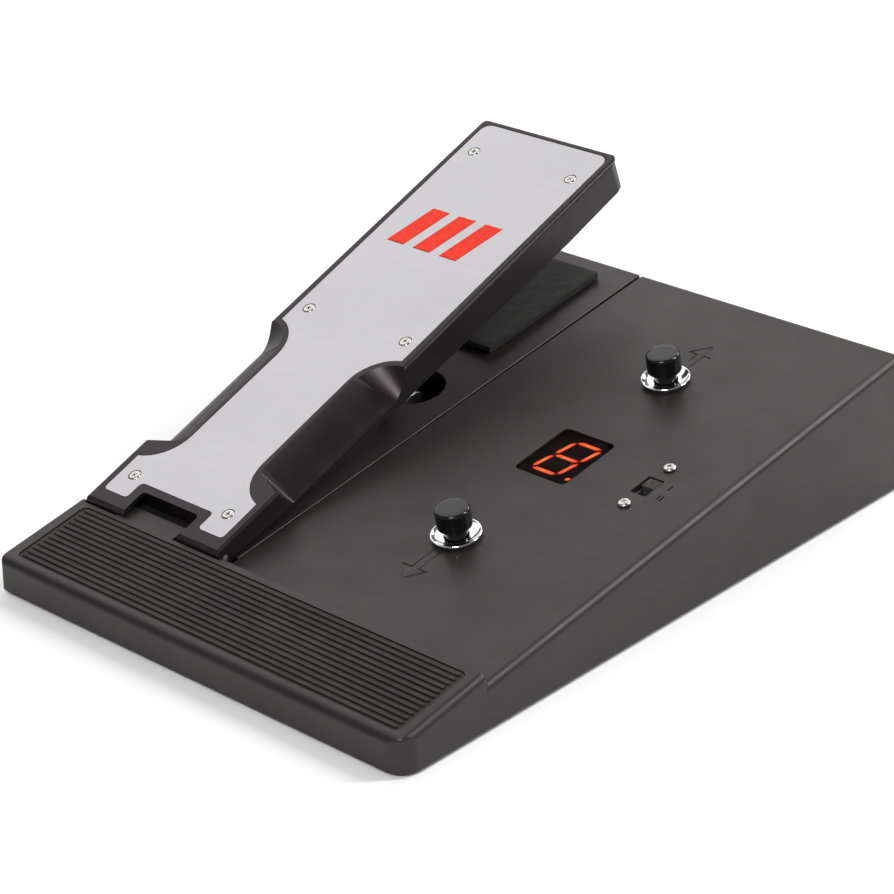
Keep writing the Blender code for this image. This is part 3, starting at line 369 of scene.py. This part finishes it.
def add(name, mesh, look, node=None, body=None, matrix=None):
    """Show a mesh as a piece that stands for a CAD node, or that rides on a body."""
    piece = bpy.data.objects.new(name, mesh)
    bpy.context.scene.collection.objects.link(piece)
    mesh.materials.clear()
    mesh.materials.append(LOOKS[look])
    if matrix is not None:
        piece.matrix_world = matrix
    if node:
        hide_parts(node)
        body = NODES[node]["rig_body"]
    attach(piece, body)
    return piece


def mesh_from(builder, name, sharp=40):
    """A shaded mesh from a bmesh."""
    bmesh.ops.recalc_face_normals(builder, faces=builder.faces)
    mesh = bpy.data.meshes.new(name)
    builder.to_mesh(mesh)
    builder.free()
    mesh.shade_smooth()
    mesh.set_sharp_from_angle(angle=math.radians(sharp))
    return mesh


def round_edges(builder, edges, width, segments):
    """Round edges, and mark the rounded strips with the face attribute that the paler edge colour follows:
    wear and a painted edge highlight.
    """
    wear_and_highlight_mask = builder.faces.layers.float.new("edge")
    made = bmesh.ops.bevel(
        builder, geom=edges, offset=width, segments=segments, profile=0.5, affect="EDGES",
        offset_type="OFFSET", clamp_overlap=True)
    for face in made["faces"]:
        face[wear_and_highlight_mask] = 1.0


def keep_flat(piece):
    """Shade a piece's large flat faces as flat, right up to its rounded edges."""
    flat = piece.modifiers.new("flat_faces", "WEIGHTED_NORMAL")
    flat.weight = 80
    flat.keep_sharp = True


def welded(node):
    """A CAD node's form with its facets joined, as a bmesh."""
    builder = bmesh.new()
    builder.from_mesh(NODES[node].data)
    bmesh.ops.remove_doubles(builder, verts=builder.verts, dist=0.01 * MM)
    bmesh.ops.dissolve_limit(
        builder, angle_limit=math.radians(0.6), verts=builder.verts, edges=builder.edges,
        use_dissolve_boundaries=False)
    return builder


def refined(node, look, width=0.3 * MM, segments=2, sharp=40):
    """The CAD node's form with soft edges and smooth round faces."""
    builder = welded(node)
    limit = math.radians(35)
    edges = [edge for edge in builder.edges if len(edge.link_faces) == 2 and edge.calc_face_angle() > limit]
    round_edges(builder, edges, width, segments)
    keep_flat(add(node + "_fine", mesh_from(builder, node + "_fine", sharp), look, node))


def local_box(node, matrix):
    """A CAD node's lowest and highest corners in a frame of reference."""
    inverse = matrix.inverted()
    points = [inverse @ vert.co for vert in NODES[node].data.vertices]
    low = Vector([min(point[axis] for point in points) for axis in range(3)])
    high = Vector([max(point[axis] for point in points) for axis in range(3)])
    return low, high


def turned(profile, steps):
    """A turned solid from (radius, height) points along its outline, as a bmesh."""
    builder = bmesh.new()
    angles = [2 * math.pi * i / steps for i in range(steps)]
    rings = []
    for radius, height in profile:
        if radius == 0:
            rings.append([builder.verts.new((0, 0, height))])
            continue
        around = [(radius * math.cos(angle), radius * math.sin(angle), height) for angle in angles]
        rings.append([builder.verts.new(place) for place in around])
    for lower, upper in zip(rings, rings[1:]):
        for i in range(steps):
            j = (i + 1) % steps
            corners = [
                lower[i % len(lower)], lower[j % len(lower)], upper[j % len(upper)], upper[i % len(upper)]]
            unique = list(dict.fromkeys(corners))
            if len(unique) > 2:
                builder.faces.new(unique)
    return builder


def curve_points(centre, radius, start, end, count):
    """Points along an arc, angles in degrees."""
    angles = [math.radians(start + (end - start) * i / (count - 1)) for i in range(count)]
    return [(centre[0] + radius * math.cos(a), centre[1] + radius * math.sin(a)) for a in angles]


# ---------------------------------------------------------------- housing and plain pieces

ENGRAVED_DEPTH = 0.7 * MM
ENGRAVED_EDGE = 25 * MM
ARROW_HALF_WIDTH = 9 * MM


def housing():
    """Painted housing: every long edge gets a fine radius; the engraved arrows stay crisp."""
    builder = welded("housing")
    inverse = PANEL.inverted()
    cover_low, cover_high = local_box("display_cover", PANEL)
    control_x = (cover_low.x + cover_high.x) / 2
    limit = math.radians(38)
    edges = []
    for edge in builder.edges:
        if len(edge.link_faces) != 2 or edge.calc_face_angle() < limit:
            continue
        engraved = edge.calc_length() < ENGRAVED_EDGE
        for end in (inverse @ vert.co for vert in edge.verts):
            at_surface = -ENGRAVED_DEPTH < end.z < 0.2 * MM
            engraved = engraved and at_surface and abs(end.x - control_x) < ARROW_HALF_WIDTH
        if not engraved:
            edges.append(edge)
    round_edges(builder, edges, 0.35 * MM, 3)
    keep_flat(add("housing_shell", mesh_from(builder, "housing_shell"), "paint", "housing"))


def plain_pieces():
    """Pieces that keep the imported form, with their edges rounded."""
    refined("deck_plate", "paint", 0.25 * MM)
    refined("heel_mat", "rubber", 0.42 * MM, 3)
    refined("treadle", "moulded", 0.5 * MM, 3)
    refined("foot_plate", "plate", 0.22 * MM)
    for number in (1, 2, 3):
        refined(f"mark_bar_{number}", "red", 0.2 * MM)
    refined("base_sheet", "zinc", 0.3 * MM)
    refined("stop_bumper", "rubber", 0.4 * MM)
    refined("hinge_pin", "zinc", 0.2 * MM)
    for side in ("left", "right"):
        refined(f"hinge_bush_{side}", "moulded", 0.15 * MM)
    refined("treadle_rack", "nylon", 0.1 * MM)
    refined("pinion", "nylon", 0.1 * MM)
    refined("pot_shaft", "zinc", 0.2 * MM)
    refined("potentiometer", "zinc", 0.3 * MM)
    refined("pot_bracket", "zinc", 0.2 * MM)
    refined("display_module", "nylon", 0.4 * MM)
    refined("display_mask", "ink", 0.08 * MM)
    refined("display_cover", "lens", 0.25 * MM)
    refined("slide_switch", "zinc", 0.15 * MM)
    refined("control_board", "board", 0.15 * MM)
    refined("power_inlet", "moulded", 0.25 * MM)
    for side in ("input", "output"):
        refined(f"{side}_jack", "moulded", 0.25 * MM)
        refined(f"{side}_jack_nut", "nickel", 0.3 * MM)
    for side in ("front", "rear"):
        refined(f"button_switch_{side}", "moulded", 0.3 * MM)
        refined(f"button_spring_{side}", "zinc", 0.05 * MM, 1, 60)


# ---------------------------------------------------------------- buttons

BUTTON_STEPS = 96
BUTTON_SHARP = 50
STEM_RADIUS = 1.5 * MM
STEM_FOOT = -10 * MM
NECK_RADIUS = 5.2 * MM
COLLAR_BORE = 5.6 * MM
COLLAR_FOOT = 0.3 * MM


def cap_profile(top):
    """Half outline of a cap: stem, neck, flared skirt and crowned top."""
    profile = [
        (0, STEM_FOOT), (STEM_RADIUS, STEM_FOOT), (STEM_RADIUS, -1 * MM),
        (NECK_RADIUS - 0.2 * MM, -1 * MM), (NECK_RADIUS, -0.8 * MM)]
    profile += curve_points((6.4 * MM, 4.6 * MM), 1.2 * MM, 180, 90, 6)
    profile += curve_points((7.0 * MM, 6.6 * MM), 0.8 * MM, -90, 0, 6)
    profile += curve_points((6.5 * MM, top - 1.3 * MM), 1.3 * MM, 0, 82, 9)
    profile += [(4.5 * MM, top - 0.04 * MM), (2.2 * MM, top - 0.02 * MM), (0, top)]
    return profile


def collar_profile():
    """Closed outline of a dished collar with a rolled rim."""
    outline = [(COLLAR_BORE, COLLAR_FOOT), (10.3 * MM, COLLAR_FOOT)]
    outline += curve_points((10.75 * MM, 2.0 * MM), 0.5 * MM, -60, 150, 8)
    outline += [(9.3 * MM, 1.72 * MM), (8.2 * MM, 1.22 * MM), (7.0 * MM, 0.95 * MM), (COLLAR_BORE, 0.85 * MM)]
    return outline + outline[:1]


def buttons():
    """Glossy caps on dished chrome collars."""
    for side in ("front", "rear"):
        cap, collar = f"button_cap_{side}", f"button_collar_{side}"
        low, high = local_box(cap, PANEL)
        at = PANEL @ Matrix.Translation(((low.x + high.x) / 2, (low.y + high.y) / 2, 0))
        mesh = mesh_from(turned(cap_profile(high.z), BUTTON_STEPS), cap + "_fine", BUTTON_SHARP)
        add(cap + "_fine", mesh, "gloss", cap, matrix=at)
        builder = turned(collar_profile(), BUTTON_STEPS)
        bmesh.ops.remove_doubles(builder, verts=builder.verts, dist=0.001 * MM)
        mesh = mesh_from(builder, collar + "_fine", BUTTON_SHARP)
        add(collar + "_fine", mesh, "chrome", collar, matrix=at)


# ---------------------------------------------------------------- screws and feet

CROSS_REACH = 1.8 * MM
CROSS_WIDTH = 0.74 * MM
CROSS_DEPTH = 1.4 * MM
TURNED_STEPS = 48

# Half outlines in millimetres: (radius, height above the face that the piece is let into).
PLATE_SCREW = (
    (0, 0.2), (1.3, 0.2), (1.3, 4.9), (2.55, 5.15), (2.8, 5.4), (2.84, 5.6), (2.75, 5.85),
    (2.45, 6.08), (1.9, 6.22), (1.2, 6.28), (0, 6.3))
SLIDE_SCREW = (
    (0, -6), (1.4, -6), (1.4, 0.3), (2.85, 0.3), (2.98, 0.5), (2.95, 0.85), (2.7, 1.25),
    (2.2, 1.52), (1.5, 1.66), (0, 1.7))
BASE_SCREW = (
    (0, -9), (1.4, -9), (1.4, 0.3), (2.8, 0.3), (2.88, 0.55), (2.75, 1.05), (2.3, 1.4),
    (1.5, 1.58), (0, 1.6))
FOOT = (
    (0, 2.6), (2.2, 2.6), (2.2, -0.3), (7.6, -0.3), (7.9, -0.55), (8.0, -1.0), (7.85, -1.6), (7.5, -1.9),
    (7.0, -2.0), (4.2, -2.0), (3.8, -1.5), (0, -1.4))


def in_metres(outline):
    """An outline's points, from millimetres."""
    return [(radius * MM, height * MM) for radius, height in outline]


def cross_cutter():
    """A cross with tapered arms, pointing down from height 0."""
    builder = bmesh.new()
    for turn in (0.0, math.pi / 2):
        arm = bmesh.ops.create_cube(builder, size=1.0)["verts"]
        for vert in arm:
            low = vert.co.z < 0
            vert.co.x *= 2 * CROSS_REACH * (0.45 if low else 1.0)
            vert.co.y *= CROSS_WIDTH * (0.7 if low else 1.0)
            vert.co.z = -CROSS_DEPTH if low else CROSS_DEPTH
        bmesh.ops.rotate(builder, verts=arm, matrix=Matrix.Rotation(turn, 3, "Z"))
    mesh = bpy.data.meshes.new("cross")
    builder.to_mesh(mesh)
    builder.free()
    return mesh


def cross_head(name, outline):
    """A turned screw with a cross recess in its head, as a mesh."""
    profile = in_metres(outline)
    body = bpy.data.objects.new(name, mesh_from(turned(profile, TURNED_STEPS), name))
    cutter = bpy.data.objects.new("cross", cross_cutter())
    cutter.location = (0, 0, profile[-1][1])
    for thing in (body, cutter):
        bpy.context.scene.collection.objects.link(thing)
    cut = body.modifiers.new("recess", "BOOLEAN")
    cut.object = cutter
    cut.solver = "EXACT"
    cut.use_self = True
    bpy.context.view_layer.update()
    mesh = bpy.data.meshes.new_from_object(body.evaluated_get(bpy.context.evaluated_depsgraph_get()))
    for thing in (body, cutter):
        bpy.data.objects.remove(thing)
    mesh.shade_smooth()
    mesh.set_sharp_from_angle(angle=math.radians(38))
    return mesh


def screws():
    """Pan heads on the plate and the panel, and the sheet's screws, head down."""
    sheet = Matrix.Translation((0, 0, FOOT_HEIGHT))
    kinds = (
        ("plate_screw", 6, HINGE, PLATE_SCREW, "nickel", 0.0),
        ("slide_screw", 2, PANEL, SLIDE_SCREW, "nickel", 0.0),
        ("base_screw", 6, sheet, BASE_SCREW, "zinc", math.pi))
    for kind, count, matrix, outline, look, flip in kinds:
        mesh = cross_head(kind, outline)
        for number in range(1, count + 1):
            node = f"{kind}_{number}"
            low, high = local_box(node, matrix)
            place = Matrix.Translation(((low.x + high.x) / 2, (low.y + high.y) / 2, 0))
            turn = Matrix.Rotation(math.radians(37 * number + 12), 4, "Z")
            at = matrix @ place @ Matrix.Rotation(flip, 4, "X") @ turn
            add(node + "_fine", mesh.copy(), look, node, matrix=at)


def feet():
    """Dished rubber feet."""
    for number in range(1, 5):
        node = f"rubber_foot_{number}"
        low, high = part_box(node)
        at = Matrix.Translation(((low.x + high.x) / 2, (low.y + high.y) / 2, FOOT_HEIGHT))
        mesh = mesh_from(turned(in_metres(FOOT), TURNED_STEPS), node + "_fine")
        add(node + "_fine", mesh, "rubber", node, matrix=at)


# ---------------------------------------------------------------- figure

FIGURE_HALF_WIDTH = 7.0 * MM
FIGURE_HALF_HEIGHT = 12.2 * MM
FIGURE_LEAN = math.radians(12)
FIGURE_LIFT = 0.8 * MM
BAR_HALF_WIDTH = 1.15 * MM
BAR_END_GAP = 0.6 * MM
POINT_OFFSET = 13.6 * MM
POINT_RADIUS = 1.3 * MM
BACK_THICKNESS = 1.1 * MM


def segment_hexagon(centre, half_length, upright):
    """A bar with pointed ends, as outline points."""
    shoulder = half_length - BAR_HALF_WIDTH
    points = [
        (-half_length, 0), (-shoulder, -BAR_HALF_WIDTH), (shoulder, -BAR_HALF_WIDTH),
        (half_length, 0), (shoulder, BAR_HALF_WIDTH), (-shoulder, BAR_HALF_WIDTH)]
    if upright:
        points = [(-v, u) for u, v in points]
    return [(centre[0] + u, centre[1] + v) for u, v in points]


def lit_bar(builder, core, points, centre, foot, top):
    """One lit bar with a bevelled top; the vertex layer core is highest at its middle."""
    middle = Vector((*centre, 0))
    rings = []
    for height, share, level in ((foot, 1.0, 0.0), (top - 0.25 * MM, 1.0, 0.12), (top, 0.8, 0.55)):
        ring = []
        for x, y in points:
            offset = Vector((x, y, 0)) - middle
            vert = builder.verts.new((middle.x + offset.x * share, middle.y + offset.y * share, height))
            vert[core] = level
            ring.append(vert)
        rings.append(ring)
    for lower, upper in zip(rings, rings[1:]):
        for i in range(len(points)):
            j = (i + 1) % len(points)
            builder.faces.new((lower[i], lower[j], upper[j], upper[i]))
    builder.faces.new(rings[0][::-1])
    hub = builder.verts.new((middle.x, middle.y, top + 0.02 * MM))
    hub[core] = 1.0
    for i in range(len(points)):
        builder.faces.new((rings[-1][i], rings[-1][(i + 1) % len(points)], hub))


def figure():
    """The lit figure and its point, on a back plate behind the mask's openings."""
    low, high = local_box("display_segments", PANEL)
    centre = ((low.x + high.x) / 2, (low.y + high.y) / 2)
    builder = bmesh.new()
    core = builder.verts.layers.float.new("core")
    back = bmesh.ops.create_cube(builder, size=1.0)["verts"]
    for vert in back:
        vert.co = Vector((
            centre[0] + vert.co.x * (high.x - low.x), centre[1] + vert.co.y * (high.y - low.y),
            low.z + (0.5 + vert.co.z) * BACK_THICKNESS))
    bars = [((0.0, y), FIGURE_HALF_WIDTH - BAR_END_GAP, False)
            for y in (-FIGURE_HALF_HEIGHT, 0.0, FIGURE_HALF_HEIGHT)]
    bars += [((x, y), FIGURE_HALF_HEIGHT / 2 - BAR_END_GAP, True)
             for x in (-FIGURE_HALF_WIDTH, FIGURE_HALF_WIDTH)
             for y in (-FIGURE_HALF_HEIGHT / 2, FIGURE_HALF_HEIGHT / 2)]
    shapes = [(segment_hexagon(place, half_length, upright), place) for place, half_length, upright in bars]
    point = (POINT_OFFSET, -FIGURE_HALF_HEIGHT)
    shapes.append((curve_points(point, POINT_RADIUS, 0, 342, 20), point))
    lean = math.tan(FIGURE_LEAN)
    foot = low.z + BACK_THICKNESS - 0.3 * MM
    for outline, place in shapes:
        leaning = [(centre[0] + x + y * lean, centre[1] + FIGURE_LIFT + y) for x, y in outline + [place]]
        lit_bar(builder, core, leaning[:-1], leaning[-1], foot, high.z)
    add("figure_bars", mesh_from(builder, "figure_bars"), "glow", "display_segments", matrix=PANEL)


# ---------------------------------------------------------------- slide switch

KNOB_RIDGES = 5
KNOB_GROOVE = 0.45 * MM
KNOB_EASE = 0.08 * MM

# One ridge, from its far groove to its near one: share of its pitch and drop below the knob's top.
KNOB_RIDGE = ((1.0, KNOB_GROOVE), (0.8, KNOB_EASE), (0.6, 0), (0.4, 0), (0.2, KNOB_EASE), (0.0, KNOB_GROOVE))

MARK_OFFSET = 9.5 * MM
MARK_PITCH = 1.7 * MM
MARK_SIZE = Vector((0.7, 3.6, 0.06)) * MM
MARK_HEIGHT = 0.04 * MM


def slide_knob():
    """The slide switch's knob, ridged across its top for grip."""
    low, high = local_box("slide_knob", PANEL)
    pitch = (high.y - low.y) / KNOB_RIDGES
    outline = [(low.y, low.z), (high.y, low.z)]
    for i in reversed(range(KNOB_RIDGES)):
        start = low.y + i * pitch
        for share, drop in KNOB_RIDGE:
            outline.append((start + pitch * share, high.z - drop))
    points = list(dict.fromkeys((round(y, 8), round(z, 8)) for y, z in outline))
    builder = bmesh.new()
    near = [builder.verts.new((low.x, y, z)) for y, z in points]
    far = [builder.verts.new((high.x, y, z)) for y, z in points]
    builder.faces.new(near)
    builder.faces.new(far[::-1])
    for i in range(len(points)):
        j = (i + 1) % len(points)
        builder.faces.new((near[i], near[j], far[j], far[i]))
    limit = math.radians(50)
    edges = [edge for edge in builder.edges if edge.calc_face_angle() > limit]
    round_edges(builder, edges, 0.1 * MM, 2)
    mesh = mesh_from(builder, "slide_knob_fine", 30)
    keep_flat(add("slide_knob_fine", mesh, "grip", "slide_knob", matrix=PANEL))


def position_marks():
    """One and two short bars beside the slide switch, for its two positions."""
    low, high = local_box("slide_switch", PANEL)
    middle_x, middle_y = (low.x + high.x) / 2, (low.y + high.y) / 2
    for name, y, count in (("one", 3.6 * MM, 1), ("two", -4.2 * MM, 2)):
        builder = bmesh.new()
        for i in range(count):
            place = Vector((middle_x + MARK_OFFSET + i * MARK_PITCH, middle_y + y, MARK_HEIGHT))
            bar = bmesh.ops.create_cube(builder, size=1.0)["verts"]
            for vert in bar:
                vert.co = place + vert.co * MARK_SIZE
        add(f"position_mark_{name}", mesh_from(builder, name), "ink", None, "base", PANEL)


# ---------------------------------------------------------------- felt

FELT_CELL = 1.6 * MM
FELT_RIM = 0.999
FELT_TOP_INSET = 0.25 * MM
FELT_RIM_SINK = 0.35 * MM
FELT_SIDE_INSET = 0.45 * MM
FELT_SIDE_BULGE = 0.25 * MM
FIBRE_COUNT = 900
FIBRE_THICKNESS = 0.045 * MM
SIDE_SHARE = 0.62
LONG_SIDE_SHARE = 0.55


def felt_pad():
    """Cut felt: an uneven top and frayed sides."""
    low, high = local_box("felt_pad", PANEL)
    size = high - low
    centre = (low + high) / 2
    half = size / 2
    builder = bmesh.new()
    bmesh.ops.create_cube(builder, size=1.0, matrix=Matrix.LocRotScale(centre, None, size))
    for axis in range(3):
        count = max(3, round(size[axis] / FELT_CELL))
        normal = Vector([1.0 if k == axis else 0.0 for k in range(3)])
        for i in range(1, count):
            place = Vector(low)
            place[axis] += size[axis] * i / count
            geometry = builder.verts[:] + builder.edges[:] + builder.faces[:]
            bmesh.ops.bisect_plane(builder, geom=geometry, plane_co=place, plane_no=normal)
    for vert in builder.verts:
        offset = vert.co - centre
        share = Vector([offset[k] / half[k] for k in range(3)])
        wander = noise.noise_vector(vert.co * 420) * 0.28 * MM
        swell = noise.noise(vert.co * 130) * 0.18 * MM
        if share.z < -FELT_RIM:
            continue
        if share.z > FELT_RIM:
            rim = min(half.x - abs(offset.x), half.y - abs(offset.y))
            sink = FELT_RIM_SINK * max(0.0, 1 - rim / FELT_CELL)
            vert.co.z += swell + wander.z * 0.6 - FELT_TOP_INSET - sink
        bulge = (1 - share.z * share.z) * FELT_SIDE_BULGE
        for k in range(2):
            if abs(share[k]) > FELT_RIM:
                vert.co[k] += math.copysign(bulge - FELT_SIDE_INSET, offset[k]) + wander[k]
    mesh = mesh_from(builder, "felt_pad_fibrous", 60)
    pad = add("felt_pad_fibrous", mesh, "felt", "felt_pad", matrix=PANEL)


def fibre_root(rng, low, high):
    """Where a loose fibre starts on the felt's sides or top, and which way it grows."""
    centre = (low + high) / 2
    half = (high - low) / 2
    if rng.random() >= SIDE_SHARE:
        base = Vector((rng.uniform(low.x, high.x), rng.uniform(low.y, high.y), high.z - 0.45 * MM))
        out = Vector((rng.uniform(-1, 1), rng.uniform(-1, 1), rng.uniform(0.1, 0.45)))
        return base, out
    side = rng.choice((-1, 1))
    if rng.random() < LONG_SIDE_SHARE:
        base = Vector((centre.x + side * (half.x - 0.4 * MM), rng.uniform(low.y, high.y), 0))
        out = Vector((side, rng.uniform(-0.6, 0.6), 0))
    else:
        base = Vector((rng.uniform(low.x, high.x), centre.y + side * (half.y - 0.4 * MM), 0))
        out = Vector((rng.uniform(-0.6, 0.6), side, 0))
    base.z = rng.uniform(low.z + 0.4 * MM, high.z - 0.3 * MM)
    out.z = rng.uniform(-0.3, 0.5)
    return base, out


def felt_fibres():
    """Short bent fibres that stand out of the felt's sides and top."""
    rng = random.Random(7)
    low, high = local_box("felt_pad", PANEL)
    fibres = bmesh.new()
    for _ in range(FIBRE_COUNT):
        base, out = fibre_root(rng, low, high)
        out = out.normalized() * rng.uniform(0.5, 1.3) * MM
        sideways = out.cross(Vector((0.3, 0.2, 1.0))).normalized() * FIBRE_THICKNESS
        up = out.cross(sideways).normalized() * FIBRE_THICKNESS
        bend = base + out * 0.55 + Vector((0, 0, rng.uniform(-0.1, 0.12) * MM))
        tip = base + out + Vector((0, 0, rng.uniform(-0.25, 0.05) * MM))
        drop = max(0.0, max(tip.z, bend.z) - high.z + 0.02 * MM)
        bend.z -= drop
        tip.z -= drop
        first, second = [
            [fibres.verts.new(point + offset * width) for offset in (sideways, up, -sideways - up)]
            for point, width in ((base, 1.0), (bend, 0.8))]
        end = fibres.verts.new(tip)
        fibres.faces.new(first[::-1])
        for k in range(3):
            m = (k + 1) % 3
            fibres.faces.new((first[k], first[m], second[m], second[k]))
            fibres.faces.new((second[k], second[m], end))
    add("felt_fibres", mesh_from(fibres, "felt_fibres", 80), "felt", None, "base", PANEL)


# ---------------------------------------------------------------- stage

FLOOR_HALF_SIZE = 8.0
FLOOR_DROP = 0.2 * MM
WORLD_STRENGTH = 0.20
LIGHT_TARGET = Vector((0.0, 0.0, 0.04))
CAMERA_PLACE = (0.8173, -0.8427, 0.6113)
CAMERA_AZIMUTH = math.radians(44.42)
CAMERA_ELEVATION = math.radians(25.78)
CAMERA_ROLL = math.radians(-2.54)
CAMERA_LENS = 120.5
CAMERA_SENSOR = 36


def stage():
    """A pale floor under the feet."""
    builder = bmesh.new()
    bmesh.ops.create_grid(builder, x_segments=1, y_segments=1, size=FLOOR_HALF_SIZE)
    floor = bpy.data.objects.new("floor", mesh_from(builder, "floor"))
    floor.location = (0, 0, -FLOOR_DROP)
    bpy.context.scene.collection.objects.link(floor)
    look = Surface("pale_floor", 0.8)
    look.paint(look.colours(look.noise(3, 2), [(0.3, (0.90, 0.90, 0.90)), (0.7, (0.915, 0.915, 0.915))]))
    floor.data.materials.append(look.material)


def softbox(name, place, size, power):
    """A rectangular area light that faces the unit."""
    light = bpy.data.lights.new(name, "AREA")
    light.shape = "RECTANGLE"
    light.size, light.size_y = size
    light.energy = power
    lamp = bpy.data.objects.new(name, light)
    lamp.location = place
    lamp.rotation_mode = "QUATERNION"
    lamp.rotation_quaternion = (LIGHT_TARGET - lamp.location).to_track_quat("-Z", "Y")
    bpy.context.scene.collection.objects.link(lamp)


def lights():
    """Soft studio light: a broad box on the left, a small one in front, strips behind and right."""
    world = bpy.data.worlds.new("studio")
    world.use_nodes = True
    background = world.node_tree.nodes["Background"]
    background.inputs["Color"].default_value = (1.0, 1.0, 1.0, 1.0)
    background.inputs["Strength"].default_value = WORLD_STRENGTH
    bpy.context.scene.world = world
    softbox("broad_left", (-1.15, 0.55, 1.15), (2.4, 2.0), 17.5)
    softbox("front", (0.55, -1.15, 1.25), (0.6, 0.4), 17)
    softbox("behind", (0.15, 1.35, 1.0), (0.8, 0.3), 7)
    softbox("right_strip", (0.9, 0.80, 1.12), (0.25, 1.0), 16)


def camera():
    """The camera, at the unit's front right and above."""
    level = math.cos(CAMERA_ELEVATION)
    back = Vector((
        math.sin(CAMERA_AZIMUTH) * level, -math.cos(CAMERA_AZIMUTH) * level, math.sin(CAMERA_ELEVATION)))
    right = Vector((0, 0, 1)).cross(back).normalized()
    up = back.cross(right)
    rolled_right = math.cos(CAMERA_ROLL) * right + math.sin(CAMERA_ROLL) * up
    rolled_up = math.cos(CAMERA_ROLL) * up - math.sin(CAMERA_ROLL) * right
    lens = bpy.data.cameras.new("camera")
    lens.sensor_width = CAMERA_SENSOR
    lens.lens = CAMERA_LENS
    lens.clip_start = 0.01
    shot = bpy.data.objects.new("camera", lens)
    turn = Matrix((rolled_right, rolled_up, back)).transposed().to_4x4()
    shot.matrix_world = Matrix.Translation(CAMERA_PLACE) @ turn
    bpy.context.scene.collection.objects.link(shot)
    bpy.context.scene.camera = shot


housing()
plain_pieces()
buttons()
screws()
feet()
figure()
slide_knob()
position_marks()
felt_pad()
felt_fibres()
stage()
lights()
camera()
bpy.context.scene.view_settings.view_transform = "Standard"
